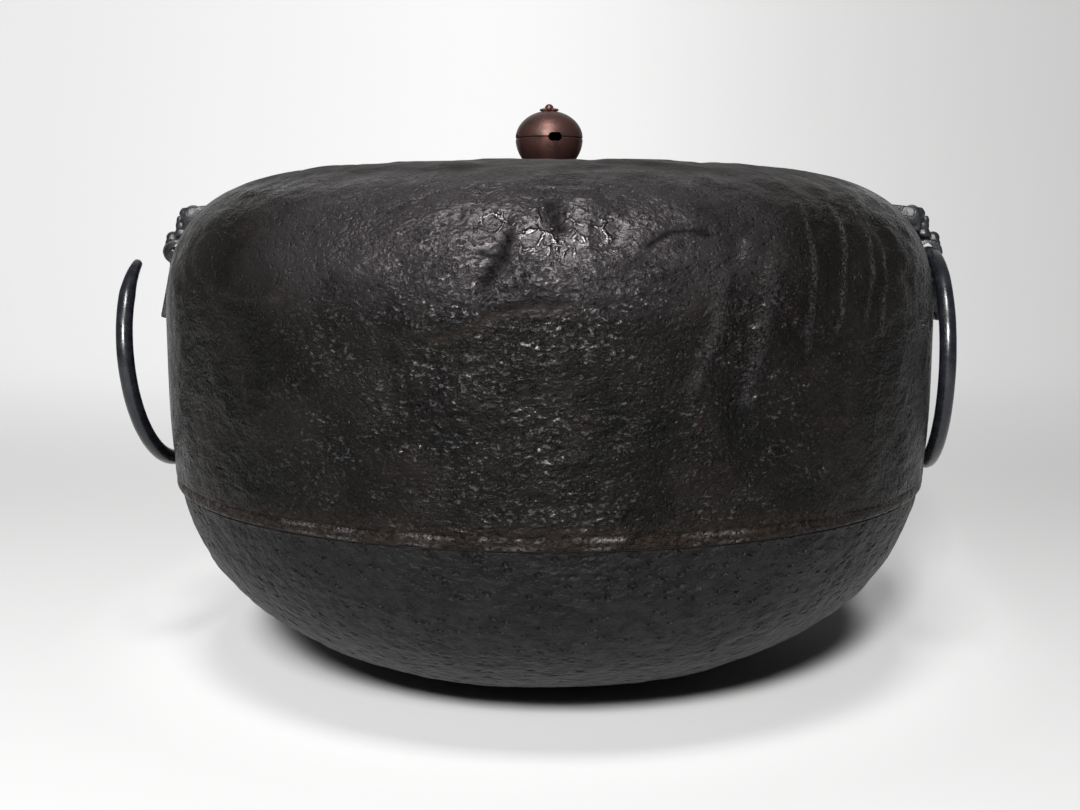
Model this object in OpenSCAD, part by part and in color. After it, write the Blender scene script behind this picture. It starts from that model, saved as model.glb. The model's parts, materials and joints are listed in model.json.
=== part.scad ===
// Tea-ceremony kettle: a cast iron body with a renewed bottom, two lugs with loose open rings,
// and a drop-in bronze lid with a hollow ball knob.
// Millimetres. +Z is up, the origin is the middle of the base on the floor, -Y is the front
// and the lugs stand on the X axis.

/* [Body] */
// Outside radius of the body at its widest level
body_r = 145.5; // [135:0.5:160]
// Height of the widest level above the floor
belly_z = 132; // [122:1:145]
// Height of the lip above the widest level
shoulder_h = 58.6; // [52:0.2:68]
// Radius of the flat that the kettle stands on
base_r = 36; // [28:1:60]
// Thickness of the cast wall
wall = 3.5; // [2.5:0.1:5]
// Thickness of the floor inside
floor_t = 4; // [3.5:0.1:8]
// Fullness of the shoulder curve, where 2 is an ellipse
shoulder_fullness = 2.8; // [2.2:0.1:3.5]
// Fullness of the bowl curve, where 2 is an ellipse
bowl_fullness = 3.8; // [3:0.1:4.5]

/* [Seam] */
// Height of the old body's lower edge above the floor
seam_z = 74.3; // [60:0.1:90]
// Height of the broken flange's stub
stub_h = 4.8; // [3:0.1:8]
// How far the stub stands out of the wall
stub_out = 0.9; // [0.4:0.1:2]
// How far the bowl stands back from the old body's skin
bowl_set_in = 0.6; // [0.2:0.1:1.5]
// How far the bowl's rim reaches up inside the old body
lap_h = 14; // [8:0.5:25]
// Thickness of the bowl's rim inside the old body
rim_t = 3; // [2:0.1:4]
// Thickness of the cement in the lap joint
cement_t = 0.5; // [0.3:0.1:1]
// How far the cement stands back from the skin
cement_back = 0.4; // [0.2:0.1:1]

/* [Mouth and lid] */
// Radius of the mouth that the lid drops into
mouth_r = 66.6; // [60:0.1:78]
// Width of the flat lip round the mouth, from the mouth to where the shoulder starts
lip_w = 3.9; // [2.5:0.1:8]
// Width of the ledge that the lid rests on
ledge_w = 4.6; // [3:0.1:8]
// Thickness of the ledge
ledge_t = 4; // [3:0.1:7]
// Width of the thick collar under the lip
collar_w = 2.5; // [1.5:0.1:5]
// Thickness of the lid
lid_t = 2.6; // [2:0.1:4]
// How far the lid's rim lies below the lip
lid_sink = 1.4; // [0.5:0.1:3]
// Rise of the lid from its rim to its middle
lid_rise = 1.3; // [0.5:0.1:3]
// Gap between the lid's rim and the mouth
lid_gap = 0.5; // [0.3:0.1:1]

/* [Knob] */
// Radius of the ball knob at its equator
knob_r = 13; // [11:0.1:16]
// Height of the knob's upper half
knob_rise = 10.6; // [9:0.1:14]
// Radius of the flat under the knob
knob_foot_r = 6.2; // [5:0.1:8]
// Wall of the knob's half shells
knob_wall = 1.2; // [0.8:0.1:1.6]
// Width of the chamfer on each side of the equator groove
groove = 0.4; // [0.2:0.05:0.6]
// Number of openings round the equator
knob_openings = 4; // [3:1:6]
// Width of a knob opening
opening_w = 5.3; // [4.2:0.1:6]
// Height of a knob opening
opening_h = 3.3; // [2.5:0.1:4]
// Turn of the first opening from the front
opening_turn = 12; // [-45:1:45]
// Radius of the washer under the knob
base_washer_r = 8; // [7:0.1:10]
// Thickness of the washer under the knob
base_washer_t = 1; // [0.6:0.1:2]
// Radius of the flower washer on the knob
flower_r = 3.7; // [3:0.1:4.5]
// Thickness of the flower washer
flower_t = 1.1; // [0.6:0.1:1.6]
// Number of petals on the flower washer
petals = 8; // [6:1:10]
// Radius of a petal's round end
petal_r = 0.95; // [0.7:0.05:1.1]

/* [Rivet] */
// Radius of the rivet's shank
rivet_r = 1.4; // [1.1:0.1:1.7]
// Gap between the shank and its holes
rivet_gap = 0.1; // [0.05:0.05:0.2]
// Radius of the rivet's head
rivet_head_r = 1.72; // [1.72:0.02:2.2]
// Height of the rivet's head
rivet_head_h = 1.7; // [1:0.1:2.5]
// Radius of the clenched end under the lid
clench_r = 2.3; // [2.1:0.1:3]
// Height of the clenched end
clench_h = 1.2; // [0.8:0.1:2]
// Radius of the rove under the lid
rove_r = 4.5; // [3.5:0.1:6]
// Thickness of the rove
rove_t = 1.2; // [0.8:0.1:2]

/* [Lugs] */
// Height of the ring eye above the widest level
eye_rise = 27.5; // [24:0.5:32]
// Radius of the ring eye
eye_r = 3.8; // [3.7:0.1:4.5]
// Iron left between the eye and the body
eye_root = 0.6; // [0.3:0.1:2]
// Iron left between the eye and the tip of the nose
nose_skin = 1.6; // [1.2:0.1:3]
// Radius of the round brow
brow_r = 10; // [8:0.5:11]
// Height of the brow above the eye
brow_h = 18.5; // [16:0.5:22]
// Width of the snout that the eye runs through
snout_w = 11; // [9:0.5:12]
// Radius of the round jaw
jaw_r = 9; // [7:0.5:9.5]
// Gap between the eye and the mouth over the jaw
jaw_gap = 2.7; // [2.5:0.1:4]
// Radius of the beard's round tip
beard_r = 5; // [3.5:0.5:6]
// Drop of the beard below the eye
jaw_drop = 26.5; // [24:0.5:27]
// Reach of the beard's lower edge past the eye
jaw_out = 7.2; // [5:0.1:9]
// Radius of the bulging mask eyes
mask_eye_r = 3; // [2:0.1:3.5]

/* [Rings] */
// Radius of a ring to the middle of its bar
ring_r = 40.6; // [38:0.1:43]
// Sideways spread of the ring's ends over a full turn
ring_pitch = 10.3; // [9:0.1:12]
// Radius of the bar at its thickest
bar_r = 3.1; // [2.6:0.1:3.2]
// Radius of the bar at its ends
tip_r = 1.8; // [1.4:0.1:2]
// Angle over which each end tapers
taper_angle = 27; // [22:1:40]
// Angle of the ring's end that stands through the eye
stub_angle = 12; // [10:0.5:14]
// Angle left open between the eye and the free tip
gap_angle = 26; // [22:1:40]
// How far the bar lies below the middle of the eye
ring_drop = 0.1; // [0:0.05:0.3]
// Lean of the hanging ring towards the body
ring_lean = 2.6; // [0:0.1:2.8]
// Turn of the ring in its own plane
ring_turn = 2; // [0:0.5:3]
// Turn of the ring about the upright
ring_yaw = -2.7; // [-4:0.1:0]

/* [Singing irons] */
// Number of plates on the floor
irons = 4; // [2:1:5]
// Length of a plate
iron_l = 14; // [8:0.5:16]
// Width of a plate
iron_w = 9; // [6:0.5:10]
// Thickness of a plate
iron_t = 1.6; // [1:0.1:3]
// Distance of a plate's middle from the kettle's middle
iron_ring_r = 24; // [18:0.5:25]

/* [Hidden] */
$fn = 64;

// Steps along a curved stretch of an outline
curve_steps = 18;
// Steps along the short lap joint
lap_steps = 4;
// A length that is sure to cut through
through = 400;
// How far a lug's outline reaches into the wall before it is trimmed to the wall
lug_root = 24;

lip_z = belly_z + shoulder_h;
lip_r = mouth_r + lip_w;
bowl_depth = belly_z / pow(1 - pow(base_r / body_r, 2), 1 / bowl_fullness);
throat_r = mouth_r - ledge_w;
ledge_z = lip_z - lid_sink - lid_t;
lap_z = seam_z + lap_h;
bowl_rim_z = seam_z - cement_t;
rim_inset = wall + cement_t;

lid_r = mouth_r - lid_gap;
lid_top = ledge_z + lid_t + lid_rise;
lid_boss_r = base_washer_r + 0.5;
rivet_hole_r = rivet_r + rivet_gap;

knob_z = lid_top + base_washer_t;
equator_z = knob_z + sqrt(pow(knob_r, 2) - pow(knob_foot_r, 2));
flower_seat_r = flower_r - petal_r;
flower_z = equator_z + knob_rise * sqrt(1 - pow(flower_seat_r / knob_r, 2));
rove_z = lid_top - lid_t - rove_t;

eye_z = belly_z + eye_rise;
eye_x = shoulder_radius(eye_z) + eye_root + eye_r;
nose = eye_r + nose_skin;

// Points along the wall below the widest level: inset is measured inwards from the skin
function wall_point(inset, t) =
    [(body_r - inset) * cos(t), belly_z - (bowl_depth - inset) * pow(sin(t), 2 / bowl_fullness)];
function wall_angle(inset, z) = asin(pow((belly_z - z) / (bowl_depth - inset), bowl_fullness / 2));
function wall_run(inset, z_from, z_to, steps) =
    let (t0 = wall_angle(inset, z_from), t1 = wall_angle(inset, z_to))
    [for (i = [0:steps]) wall_point(inset, t0 + (t1 - t0) * i / steps)];

// Points along the shoulder above the widest level, from the belly to the lip
function shoulder_point(inset, t) = [
    lip_r + (body_r - lip_r - inset) * pow(cos(t), 2 / shoulder_fullness),
    belly_z + (shoulder_h - inset) * pow(sin(t), 2 / shoulder_fullness)
];
function shoulder_run(inset, t_end) =
    [for (i = [0:curve_steps]) shoulder_point(inset, t_end * i / curve_steps)];
function shoulder_radius(z) =
    shoulder_point(0, asin(pow((z - belly_z) / shoulder_h, shoulder_fullness / 2)))[0];

function reversed(list) = [for (i = [len(list) - 1:-1:0]) list[i]];
function ellipse_run(r, h, z, t0, t1) =
    [for (i = [0:curve_steps]) let (t = t0 + (t1 - t0) * i / curve_steps) [r * cos(t), z + h * sin(t)]];

outer_wall = wall_run(0, seam_z + stub_h, belly_z, curve_steps);
outer_shoulder = shoulder_run(0, 90);
lap_face = wall_run(wall, lap_z, seam_z, lap_steps);
rim_face = wall_run(rim_inset, bowl_rim_z, lap_z, lap_steps);

// Sheet outline of the whole body, filled to the axis, that the lugs are trimmed to
module body_fill() {
    rotate_extrude($fn = 360) polygon(concat(
        [[0, seam_z + stub_h]],
        outer_wall,
        outer_shoulder,
        [[0, lip_z]]
    ));
}

module upper_shell() {
    skin_r = wall_run(0, seam_z, belly_z, 1)[0][0];
    stub = [
        [skin_r, seam_z],
        [skin_r + stub_out * 0.8, seam_z + stub_h * 0.15],
        [skin_r + stub_out, seam_z + stub_h * 0.5],
        [skin_r + stub_out * 0.7, seam_z + stub_h * 0.85]
    ];
    // the inner shoulder starts where the thick collar under the lip ends
    collar_angle = acos(pow(collar_w / (body_r - lip_r - wall), shoulder_fullness / 2));
    color("#2b2623") rotate_extrude() polygon(concat(
        stub,
        outer_wall,
        outer_shoulder,
        [[mouth_r, lip_z], [mouth_r, ledge_z], [throat_r, ledge_z], [throat_r, ledge_z - ledge_t]],
        [[lip_r + collar_w, ledge_z - ledge_t]],
        reversed(shoulder_run(wall, collar_angle)),
        wall_run(wall, belly_z, lap_z, curve_steps),
        lap_face
    ));
}

module bottom_bowl() {
    bowl_inset = bowl_set_in + wall;
    root_z = seam_z - lap_h / 2;
    color("#35383b") rotate_extrude() polygon(concat(
        [[0, 0]],
        wall_run(bowl_set_in, 0, bowl_rim_z, curve_steps),
        rim_face,
        wall_run(rim_inset + rim_t, lap_z, root_z, lap_steps),
        wall_run(bowl_inset, root_z - lap_h / 2, floor_t, curve_steps),
        [[0, floor_t]]
    ));
}

module seam_cement() {
    edge_r = wall_run(bowl_set_in, bowl_rim_z, belly_z, 1)[0][0] - cement_back;
    color("#3a2a20") rotate_extrude() polygon(concat(
        rim_face,
        lap_face,
        [[edge_r, seam_z], [edge_r, bowl_rim_z]]
    ));
}

// Front view of a lug about its eye: a round brow, a narrow snout and a round jaw with a beard
module lug_front() {
    translate([0, brow_h - brow_r / 2]) circle(r = brow_r);
    translate([-snout_w / 2, -eye_r - jaw_r / 2]) square([snout_w, eye_r + jaw_r / 2 + brow_h / 2]);
    translate([0, -eye_r - jaw_gap - jaw_r]) circle(r = jaw_r);
    translate([0, beard_r - jaw_drop]) circle(r = beard_r);
}

// Side view of a lug about its eye, from the brow over the nose and the mouth down to the beard
lug_side = [
    [-lug_root, brow_h], [-5, brow_h], [-2, brow_h - 2], [0, brow_h - 8],
    [nose - 4, eye_r + 3.2], [nose - 1.2, eye_r + 1], [nose, 1], [nose - 0.5, 0.8 - eye_r],
    [nose - 2, -eye_r - 1.7], [nose - 4.6, -eye_r - jaw_gap], [nose - 2.4, -eye_r - jaw_gap - 1.5],
    [jaw_out - 1.5, 8.5 - jaw_drop], [jaw_out, 0.8 - jaw_drop], [jaw_out - 1, -jaw_drop],
    [-lug_root, -jaw_drop]
];

module lug() {
    color("#23262b") difference() {
        translate([eye_x, 0, eye_z]) {
            intersection() {
                rotate([90, 0, 0]) linear_extrude(height = 4 * brow_r, center = true) polygon(lug_side);
                rotate([90, 0, 90]) linear_extrude(height = 4 * lug_root, center = true) lug_front();
            }
            for (side = [-1, 1])
                translate([0, side * brow_r / 2, brow_h - 8]) sphere(r = mask_eye_r);
        }
        body_fill();
        translate([eye_x, 0, eye_z]) rotate([90, 0, 0]) cylinder(h = through, r = eye_r, center = true);
    }
}

module right_lug() {
    lug();
}

module left_lug() {
    rotate([0, 0, 180]) lug();
}

// An open ring: one turn of a slow coil, tapered to both ends, that starts in the eye
ring_sections = 68;
bar_sides = 16;
bar_blunt = 0.6;
ring_start = -stub_angle;
ring_end = 360 - gap_angle;

function bar_radius(a) = tip_r + (bar_r - tip_r) * min(1, (a - ring_start) / taper_angle,
                                                      (ring_end - a) / taper_angle);
function ring_point(a) = [ring_pitch * a / 360, -ring_r * sin(a), -ring_r * (1 - cos(a))];
function bar_section(a, r) = [
    for (j = [0:bar_sides - 1]) let (t = 360 * j / bar_sides)
        ring_point(a) + r * [sin(t), -sin(a) * cos(t), cos(a) * cos(t)]
];

module open_ring() {
    blunt_angle = bar_blunt * 180 / PI / ring_r;
    angles = concat(
        [ring_start],
        [for (i = [0:ring_sections])
            ring_start + blunt_angle + (ring_end - ring_start - 2 * blunt_angle) * i / ring_sections],
        [ring_end]
    );
    last = len(angles) - 1;
    points = [
        for (i = [0:last])
            let (r = bar_radius(angles[i]) - (i == 0 || i == last ? bar_blunt : 0))
            each bar_section(angles[i], r)
    ];
    sides = [
        for (i = [0:last - 1], j = [0:bar_sides - 1])
            let (a = i * bar_sides + j, b = i * bar_sides + (j + 1) % bar_sides)
            each [[a, b, b + bar_sides], [a, b + bar_sides, a + bar_sides]]
    ];
    start_cap = [for (j = [1:bar_sides - 2]) [0, j + 1, j]];
    tip = last * bar_sides;
    end_cap = [for (j = [1:bar_sides - 2]) [tip, tip + j, tip + j + 1]];
    polyhedron(points, concat(sides, start_cap, end_cap));
}

module hung_ring() {
    color("#1a1d22") translate([eye_x, 0, eye_z - ring_drop])
        rotate([0, 0, ring_yaw]) rotate([0, ring_lean, 0]) rotate([ring_turn, 0, 0]) open_ring();
}

module right_ring() {
    hung_ring();
}

module left_ring() {
    rotate([0, 0, 180]) hung_ring();
}

module lid_plate() {
    function dome(r) = lid_top - lid_rise * pow(max(0, r - lid_boss_r) / (lid_r - lid_boss_r), 2);
    seat_r = throat_r - 1.5;
    rim_break = 0.6;
    top_r = lid_r - rim_break;
    color("#4a382b") rotate_extrude() polygon(concat(
        [[rivet_hole_r, lid_top - lid_t], [rivet_hole_r, lid_top]],
        [for (i = [0:curve_steps]) let (r = lid_boss_r + (top_r - lid_boss_r) * i / curve_steps) [r, dome(r)]],
        [[lid_r, dome(lid_r) - rim_break], [lid_r, ledge_z], [seat_r, ledge_z]],
        [for (i = [0:curve_steps]) let (r = seat_r + (lid_boss_r - seat_r) * i / curve_steps) [r, dome(r) - lid_t]]
    ));
}

module washer(z, r, t) {
    edge = t * 0.3;
    rotate_extrude() polygon([
        [rivet_hole_r, z], [r, z], [r, z + t - edge], [r - edge, z + t], [rivet_hole_r, z + t]
    ]);
}

module knob_base_washer() {
    color("#4a382b") washer(lid_top, base_washer_r, base_washer_t);
}

module rivet_rove() {
    color("#4a382b") washer(rove_z, rove_r, rove_t);
}

// The rounded slots round the knob's equator
module knob_slots() {
    end_r = opening_h / 2;
    for (i = [0:knob_openings - 1])
        translate([0, 0, equator_z]) rotate([0, 0, opening_turn + 360 * i / knob_openings]) rotate([90, 0, 0]) {
            for (side = [-1, 1])
                translate([side * (opening_w / 2 - end_r), 0, 0]) cylinder(h = through, r = end_r);
            translate([end_r - opening_w / 2, -end_r, 0]) cube([opening_w - opening_h, opening_h, through]);
        }
}

module knob_lower_shell() {
    bore_r = knob_r - knob_wall;
    foot_angle = -acos(knob_foot_r / knob_r);
    floor_angle = asin((knob_z + knob_wall - equator_z) / bore_r);
    color("#5a4030") difference() {
        rotate_extrude() polygon(concat(
            [[rivet_hole_r, knob_z]],
            ellipse_run(knob_r, knob_r, equator_z, foot_angle, -asin(groove / knob_r)),
            [[knob_r - groove, equator_z]],
            ellipse_run(bore_r, bore_r, equator_z, 0, floor_angle),
            [[rivet_hole_r, knob_z + knob_wall]]
        ));
        knob_slots();
    }
}

module knob_upper_shell() {
    bore_r = knob_r - knob_wall;
    bore_rise = knob_rise - knob_wall;
    roof_angle = acos(flower_seat_r / bore_r);
    roof_z = equator_z + bore_rise * sin(roof_angle);
    color("#5a4030") difference() {
        rotate_extrude() polygon(concat(
            [[knob_r - groove, equator_z]],
            ellipse_run(knob_r, knob_rise, equator_z, asin(groove / knob_rise), acos(flower_seat_r / knob_r)),
            [[rivet_hole_r, flower_z], [rivet_hole_r, roof_z]],
            ellipse_run(bore_r, bore_rise, equator_z, roof_angle, 0)
        ));
        knob_slots();
    }
}

module knob_top_washer() {
    color("#6b4d39") translate([0, 0, flower_z]) difference() {
        union() {
            cylinder(h = flower_t, r = flower_seat_r);
            for (i = [0:petals - 1])
                rotate([0, 0, 360 * i / petals]) translate([flower_seat_r, 0, 0]) cylinder(h = flower_t, r = petal_r);
        }
        translate([0, 0, -flower_t]) cylinder(h = 3 * flower_t, r = rivet_hole_r);
    }
}

module knob_rivet() {
    head_z = flower_z + flower_t;
    color("#6b4d39") rotate_extrude() polygon(concat(
        [[0, rove_z - clench_h], [clench_r - 0.4, rove_z - clench_h], [clench_r, rove_z - clench_h / 2]],
        [[clench_r, rove_z], [rivet_r, rove_z], [rivet_r, head_z]],
        ellipse_run(rivet_head_r, rivet_head_h, head_z, 0, 90)
    ));
}

module singing_irons() {
    color("#2b2b2c") for (i = [0:irons - 1])
        rotate([0, 0, 360 * (i + 0.5) / irons]) translate([iron_ring_r - iron_w / 2, -iron_l / 2, floor_t])
            cube([iron_w, iron_l, iron_t]);
}

upper_shell();
bottom_bowl();
seam_cement();
left_lug();
right_lug();
left_ring();
right_ring();
lid_plate();
knob_base_washer();
knob_lower_shell();
knob_upper_shell();
knob_top_washer();
knob_rivet();
rivet_rove();
singing_irons();
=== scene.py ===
"""Dresses a tea-ceremony kettle: an old cast iron body with a renewed bowl, two mask lugs with loose
open rings, and a bronze lid with a pierced ball knob."""

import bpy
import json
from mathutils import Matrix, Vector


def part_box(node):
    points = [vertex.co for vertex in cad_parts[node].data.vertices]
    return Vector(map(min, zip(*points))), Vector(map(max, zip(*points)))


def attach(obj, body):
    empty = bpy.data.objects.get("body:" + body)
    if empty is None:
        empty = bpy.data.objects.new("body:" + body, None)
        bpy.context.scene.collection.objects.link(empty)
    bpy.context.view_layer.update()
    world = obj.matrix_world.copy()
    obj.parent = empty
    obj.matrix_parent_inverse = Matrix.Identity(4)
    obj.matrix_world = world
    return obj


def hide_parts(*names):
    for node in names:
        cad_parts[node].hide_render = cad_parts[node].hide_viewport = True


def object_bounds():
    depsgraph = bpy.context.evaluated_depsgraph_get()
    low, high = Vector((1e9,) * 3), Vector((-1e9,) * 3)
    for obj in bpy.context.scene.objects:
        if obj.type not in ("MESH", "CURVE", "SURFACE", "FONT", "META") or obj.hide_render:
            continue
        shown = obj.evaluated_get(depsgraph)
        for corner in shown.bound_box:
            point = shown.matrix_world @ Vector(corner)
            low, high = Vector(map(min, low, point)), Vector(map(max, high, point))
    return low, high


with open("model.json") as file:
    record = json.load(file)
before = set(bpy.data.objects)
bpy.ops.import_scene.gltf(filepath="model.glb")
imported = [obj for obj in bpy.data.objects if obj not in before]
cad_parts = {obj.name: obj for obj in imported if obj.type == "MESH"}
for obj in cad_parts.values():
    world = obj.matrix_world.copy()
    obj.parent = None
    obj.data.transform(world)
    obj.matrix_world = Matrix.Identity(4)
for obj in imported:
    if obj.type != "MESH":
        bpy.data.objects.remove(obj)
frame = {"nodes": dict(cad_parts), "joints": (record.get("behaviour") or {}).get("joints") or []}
CAD_BOX = [list(corner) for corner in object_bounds()]

import json
import math

import bmesh
import bpy
from bpy.props import FloatProperty, FloatVectorProperty, IntProperty, PointerProperty
from mathutils import Euler, Matrix, Vector, noise
from mathutils.geometry import intersect_point_line

bl_info = {
    "name": "Tea kettle",
    "version": (1, 0, 0),
    "blender": (4, 5, 0),
    "location": "3D View > Sidebar > Kettle",
    "description": "Builds and finishes the pieces of a cast iron tea kettle over its solid model",
    "category": "Object",
}

MM = 0.001
SHELL_LOW, SHELL_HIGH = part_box("upper_shell")
LID_LOW, LID_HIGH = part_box("lid_plate")
BALL_LOW, BALL_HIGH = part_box("knob_lower_shell")
FLOWER_LOW, FLOWER_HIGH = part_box("knob_top_washer")
WASHER_LOW, WASHER_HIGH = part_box("knob_base_washer")
ROVE_LOW, ROVE_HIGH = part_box("rivet_rove")
RIVET_LOW, RIVET_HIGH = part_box("knob_rivet")
EYE = Vector(next(j["pos_m"] for j in frame["joints"] if j["name"] == "right_ring_swing"))


def length(name, text, default):
    """A size in metres."""
    return FloatProperty(name=name, description=text, default=default, unit="LENGTH", precision=5)


def angle(name, text, default):
    """An angle, given in degrees."""
    return FloatProperty(name=name, description=text, default=math.radians(default), subtype="ANGLE")


def colour(name, text, default):
    """A surface colour."""
    return FloatVectorProperty(name=name, description=text, default=default, subtype="COLOR", size=3,
                               min=0, max=1)


def power(name, text, default):
    """Power of a lamp in watts."""
    return FloatProperty(name=name, description=text, default=default, unit="POWER")


class KettleSizes(bpy.types.PropertyGroup):
    """Sizes of the kettle's visible pieces."""

    body_radius: length("Body radius", "Outside radius at the widest level", SHELL_HIGH.x)
    belly_height: length("Belly height", "Height of the widest level above the floor", 0.132)
    lip_radius: length("Lip radius", "Radius where the shoulder runs out flat", 0.0705)
    mouth_radius: length("Mouth radius", "Radius of the mouth that the lid drops into", 0.0666)
    ledge_width: length("Ledge width", "Width of the ledge under the lid", 0.0046)
    ledge_thickness: length("Ledge thickness", "Thickness of the ledge under the lid", 0.004)
    base_radius: length("Base radius", "Radius of the flat that the kettle stands on", 0.036)
    wall: length("Wall", "Thickness of the cast wall", 0.0035)
    floor: length("Floor", "Thickness of the floor inside", 0.004)
    stub_height: length("Stub height", "Height of the broken flange's stub", 0.0048)
    stub_reach: length("Stub reach", "How far the stub stands out of the wall", 0.0009)
    bowl_step: length("Bowl step", "How far the bowl stands back from the old skin", 0.0006)
    lap: length("Lap", "How far the bowl's rim reaches up inside the body", 0.014)
    relief: FloatProperty(name="Relief", description="Strength of the cast skin's unevenness", default=1.0,
                          min=0, max=2)
    ring_radius: length("Ring radius", "Radius of a ring to the middle of its bar", 0.0406)
    ring_spread: length("Ring spread", "Sideways spread of a ring over a full turn", 0.0103)
    bar_radius: length("Bar radius", "Radius of a ring's bar", 0.0031)
    tip_radius: length("Tip radius", "Radius of a ring's bar at its ends", 0.0018)
    eye_radius: length("Eye radius", "Radius of the lug's eye", 0.0038)
    slots: IntProperty(name="Knob openings", description="Openings round the knob", default=4, min=3, max=6)
    petals: IntProperty(name="Petals", description="Petals on the flower washer", default=8, min=6, max=10)


class KettleColours(bpy.types.PropertyGroup):
    """Colours of the finishes."""

    iron_dark: colour("Iron, dark", "Dark skin of the old body", (0.0030, 0.0028, 0.0026))
    iron_brown: colour("Iron, brown", "Brown skin of the old body", (0.0078, 0.0067, 0.0061))
    # this colour serves the rubbed ridges and also the painted glints on the front of the wall
    iron_worn_and_glint: colour("Iron, worn", "Ridges where the skin is rubbed", (0.105, 0.098, 0.100))
    # the shoulder colour is a painted highlight: lighter mauve skin where the overhead lamp's highlight falls
    iron_painted_highlight: colour("Iron, shoulder", "Shining skin at the front of the shoulder", (0.036, 0.0324, 0.0342))
    rust: colour("Rust", "Rust along the seam", (0.018, 0.0114, 0.0078))
    scale_white: colour("Lime", "Lime scale inside", (0.30, 0.27, 0.23))
    bowl_grey: colour("Bowl grey", "Skin of the renewed bowl", (0.0200, 0.0204, 0.0212))
    bowl_dark: colour("Bowl dark", "Pits of the renewed bowl", (0.0028, 0.0029, 0.0031))
    ring_black: colour("Ring black", "Blackened iron of the rings", (0.0050, 0.0058, 0.0080))
    bronze: colour("Bronze", "Bronze of the knob and lid", (0.098, 0.046, 0.039))
    patina: colour("Patina", "Dark patina in the bronze's hollows", (0.027, 0.0140, 0.0115))
    floor: colour("Floor", "Pale floor and backdrop", (0.395, 0.395, 0.393))


class KettleStage(bpy.types.PropertyGroup):
    """The camera and the lights."""

    distance: length("Distance", "Distance of the camera from the kettle's axis", 0.5124)
    height: length("Height", "Height of the camera above the floor", 0.166)
    aside: length("Aside", "Shift of the camera to its left", 0.00355)
    pitch: angle("Pitch", "Angle at which the camera looks down", 7.45)
    turn: angle("Turn", "Angle of the camera round the kettle from the front", 2.0)
    lens: FloatProperty(name="Lens", description="Focal length in millimetres", default=43.333, min=10,
                        max=200)
    softbox: power("Softbox", "Power of the overhead light", 16.0)
    front: power("Front light", "Power of the light in front", 54.0)
    world: FloatProperty(name="World", description="Strength of the even light", default=0.03, min=0, max=1)


class Wire:
    """A shader socket that Python's arithmetic can be written with."""

    def __init__(self, finish, socket):
        self.finish = finish
        self.socket = socket

    def maths(self, operation, first, second):
        return self.finish.node("ShaderNodeMath", 0, {0: first, 1: second}, operation=operation)

    def __add__(self, other):
        return self.maths("ADD", self, other)

    def __radd__(self, other):
        return self.maths("ADD", other, self)

    def __sub__(self, other):
        return self.maths("SUBTRACT", self, other)

    def __rsub__(self, other):
        return self.maths("SUBTRACT", other, self)

    def __mul__(self, other):
        return self.maths("MULTIPLY", self, other)

    def __rmul__(self, other):
        return self.maths("MULTIPLY", other, self)


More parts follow.
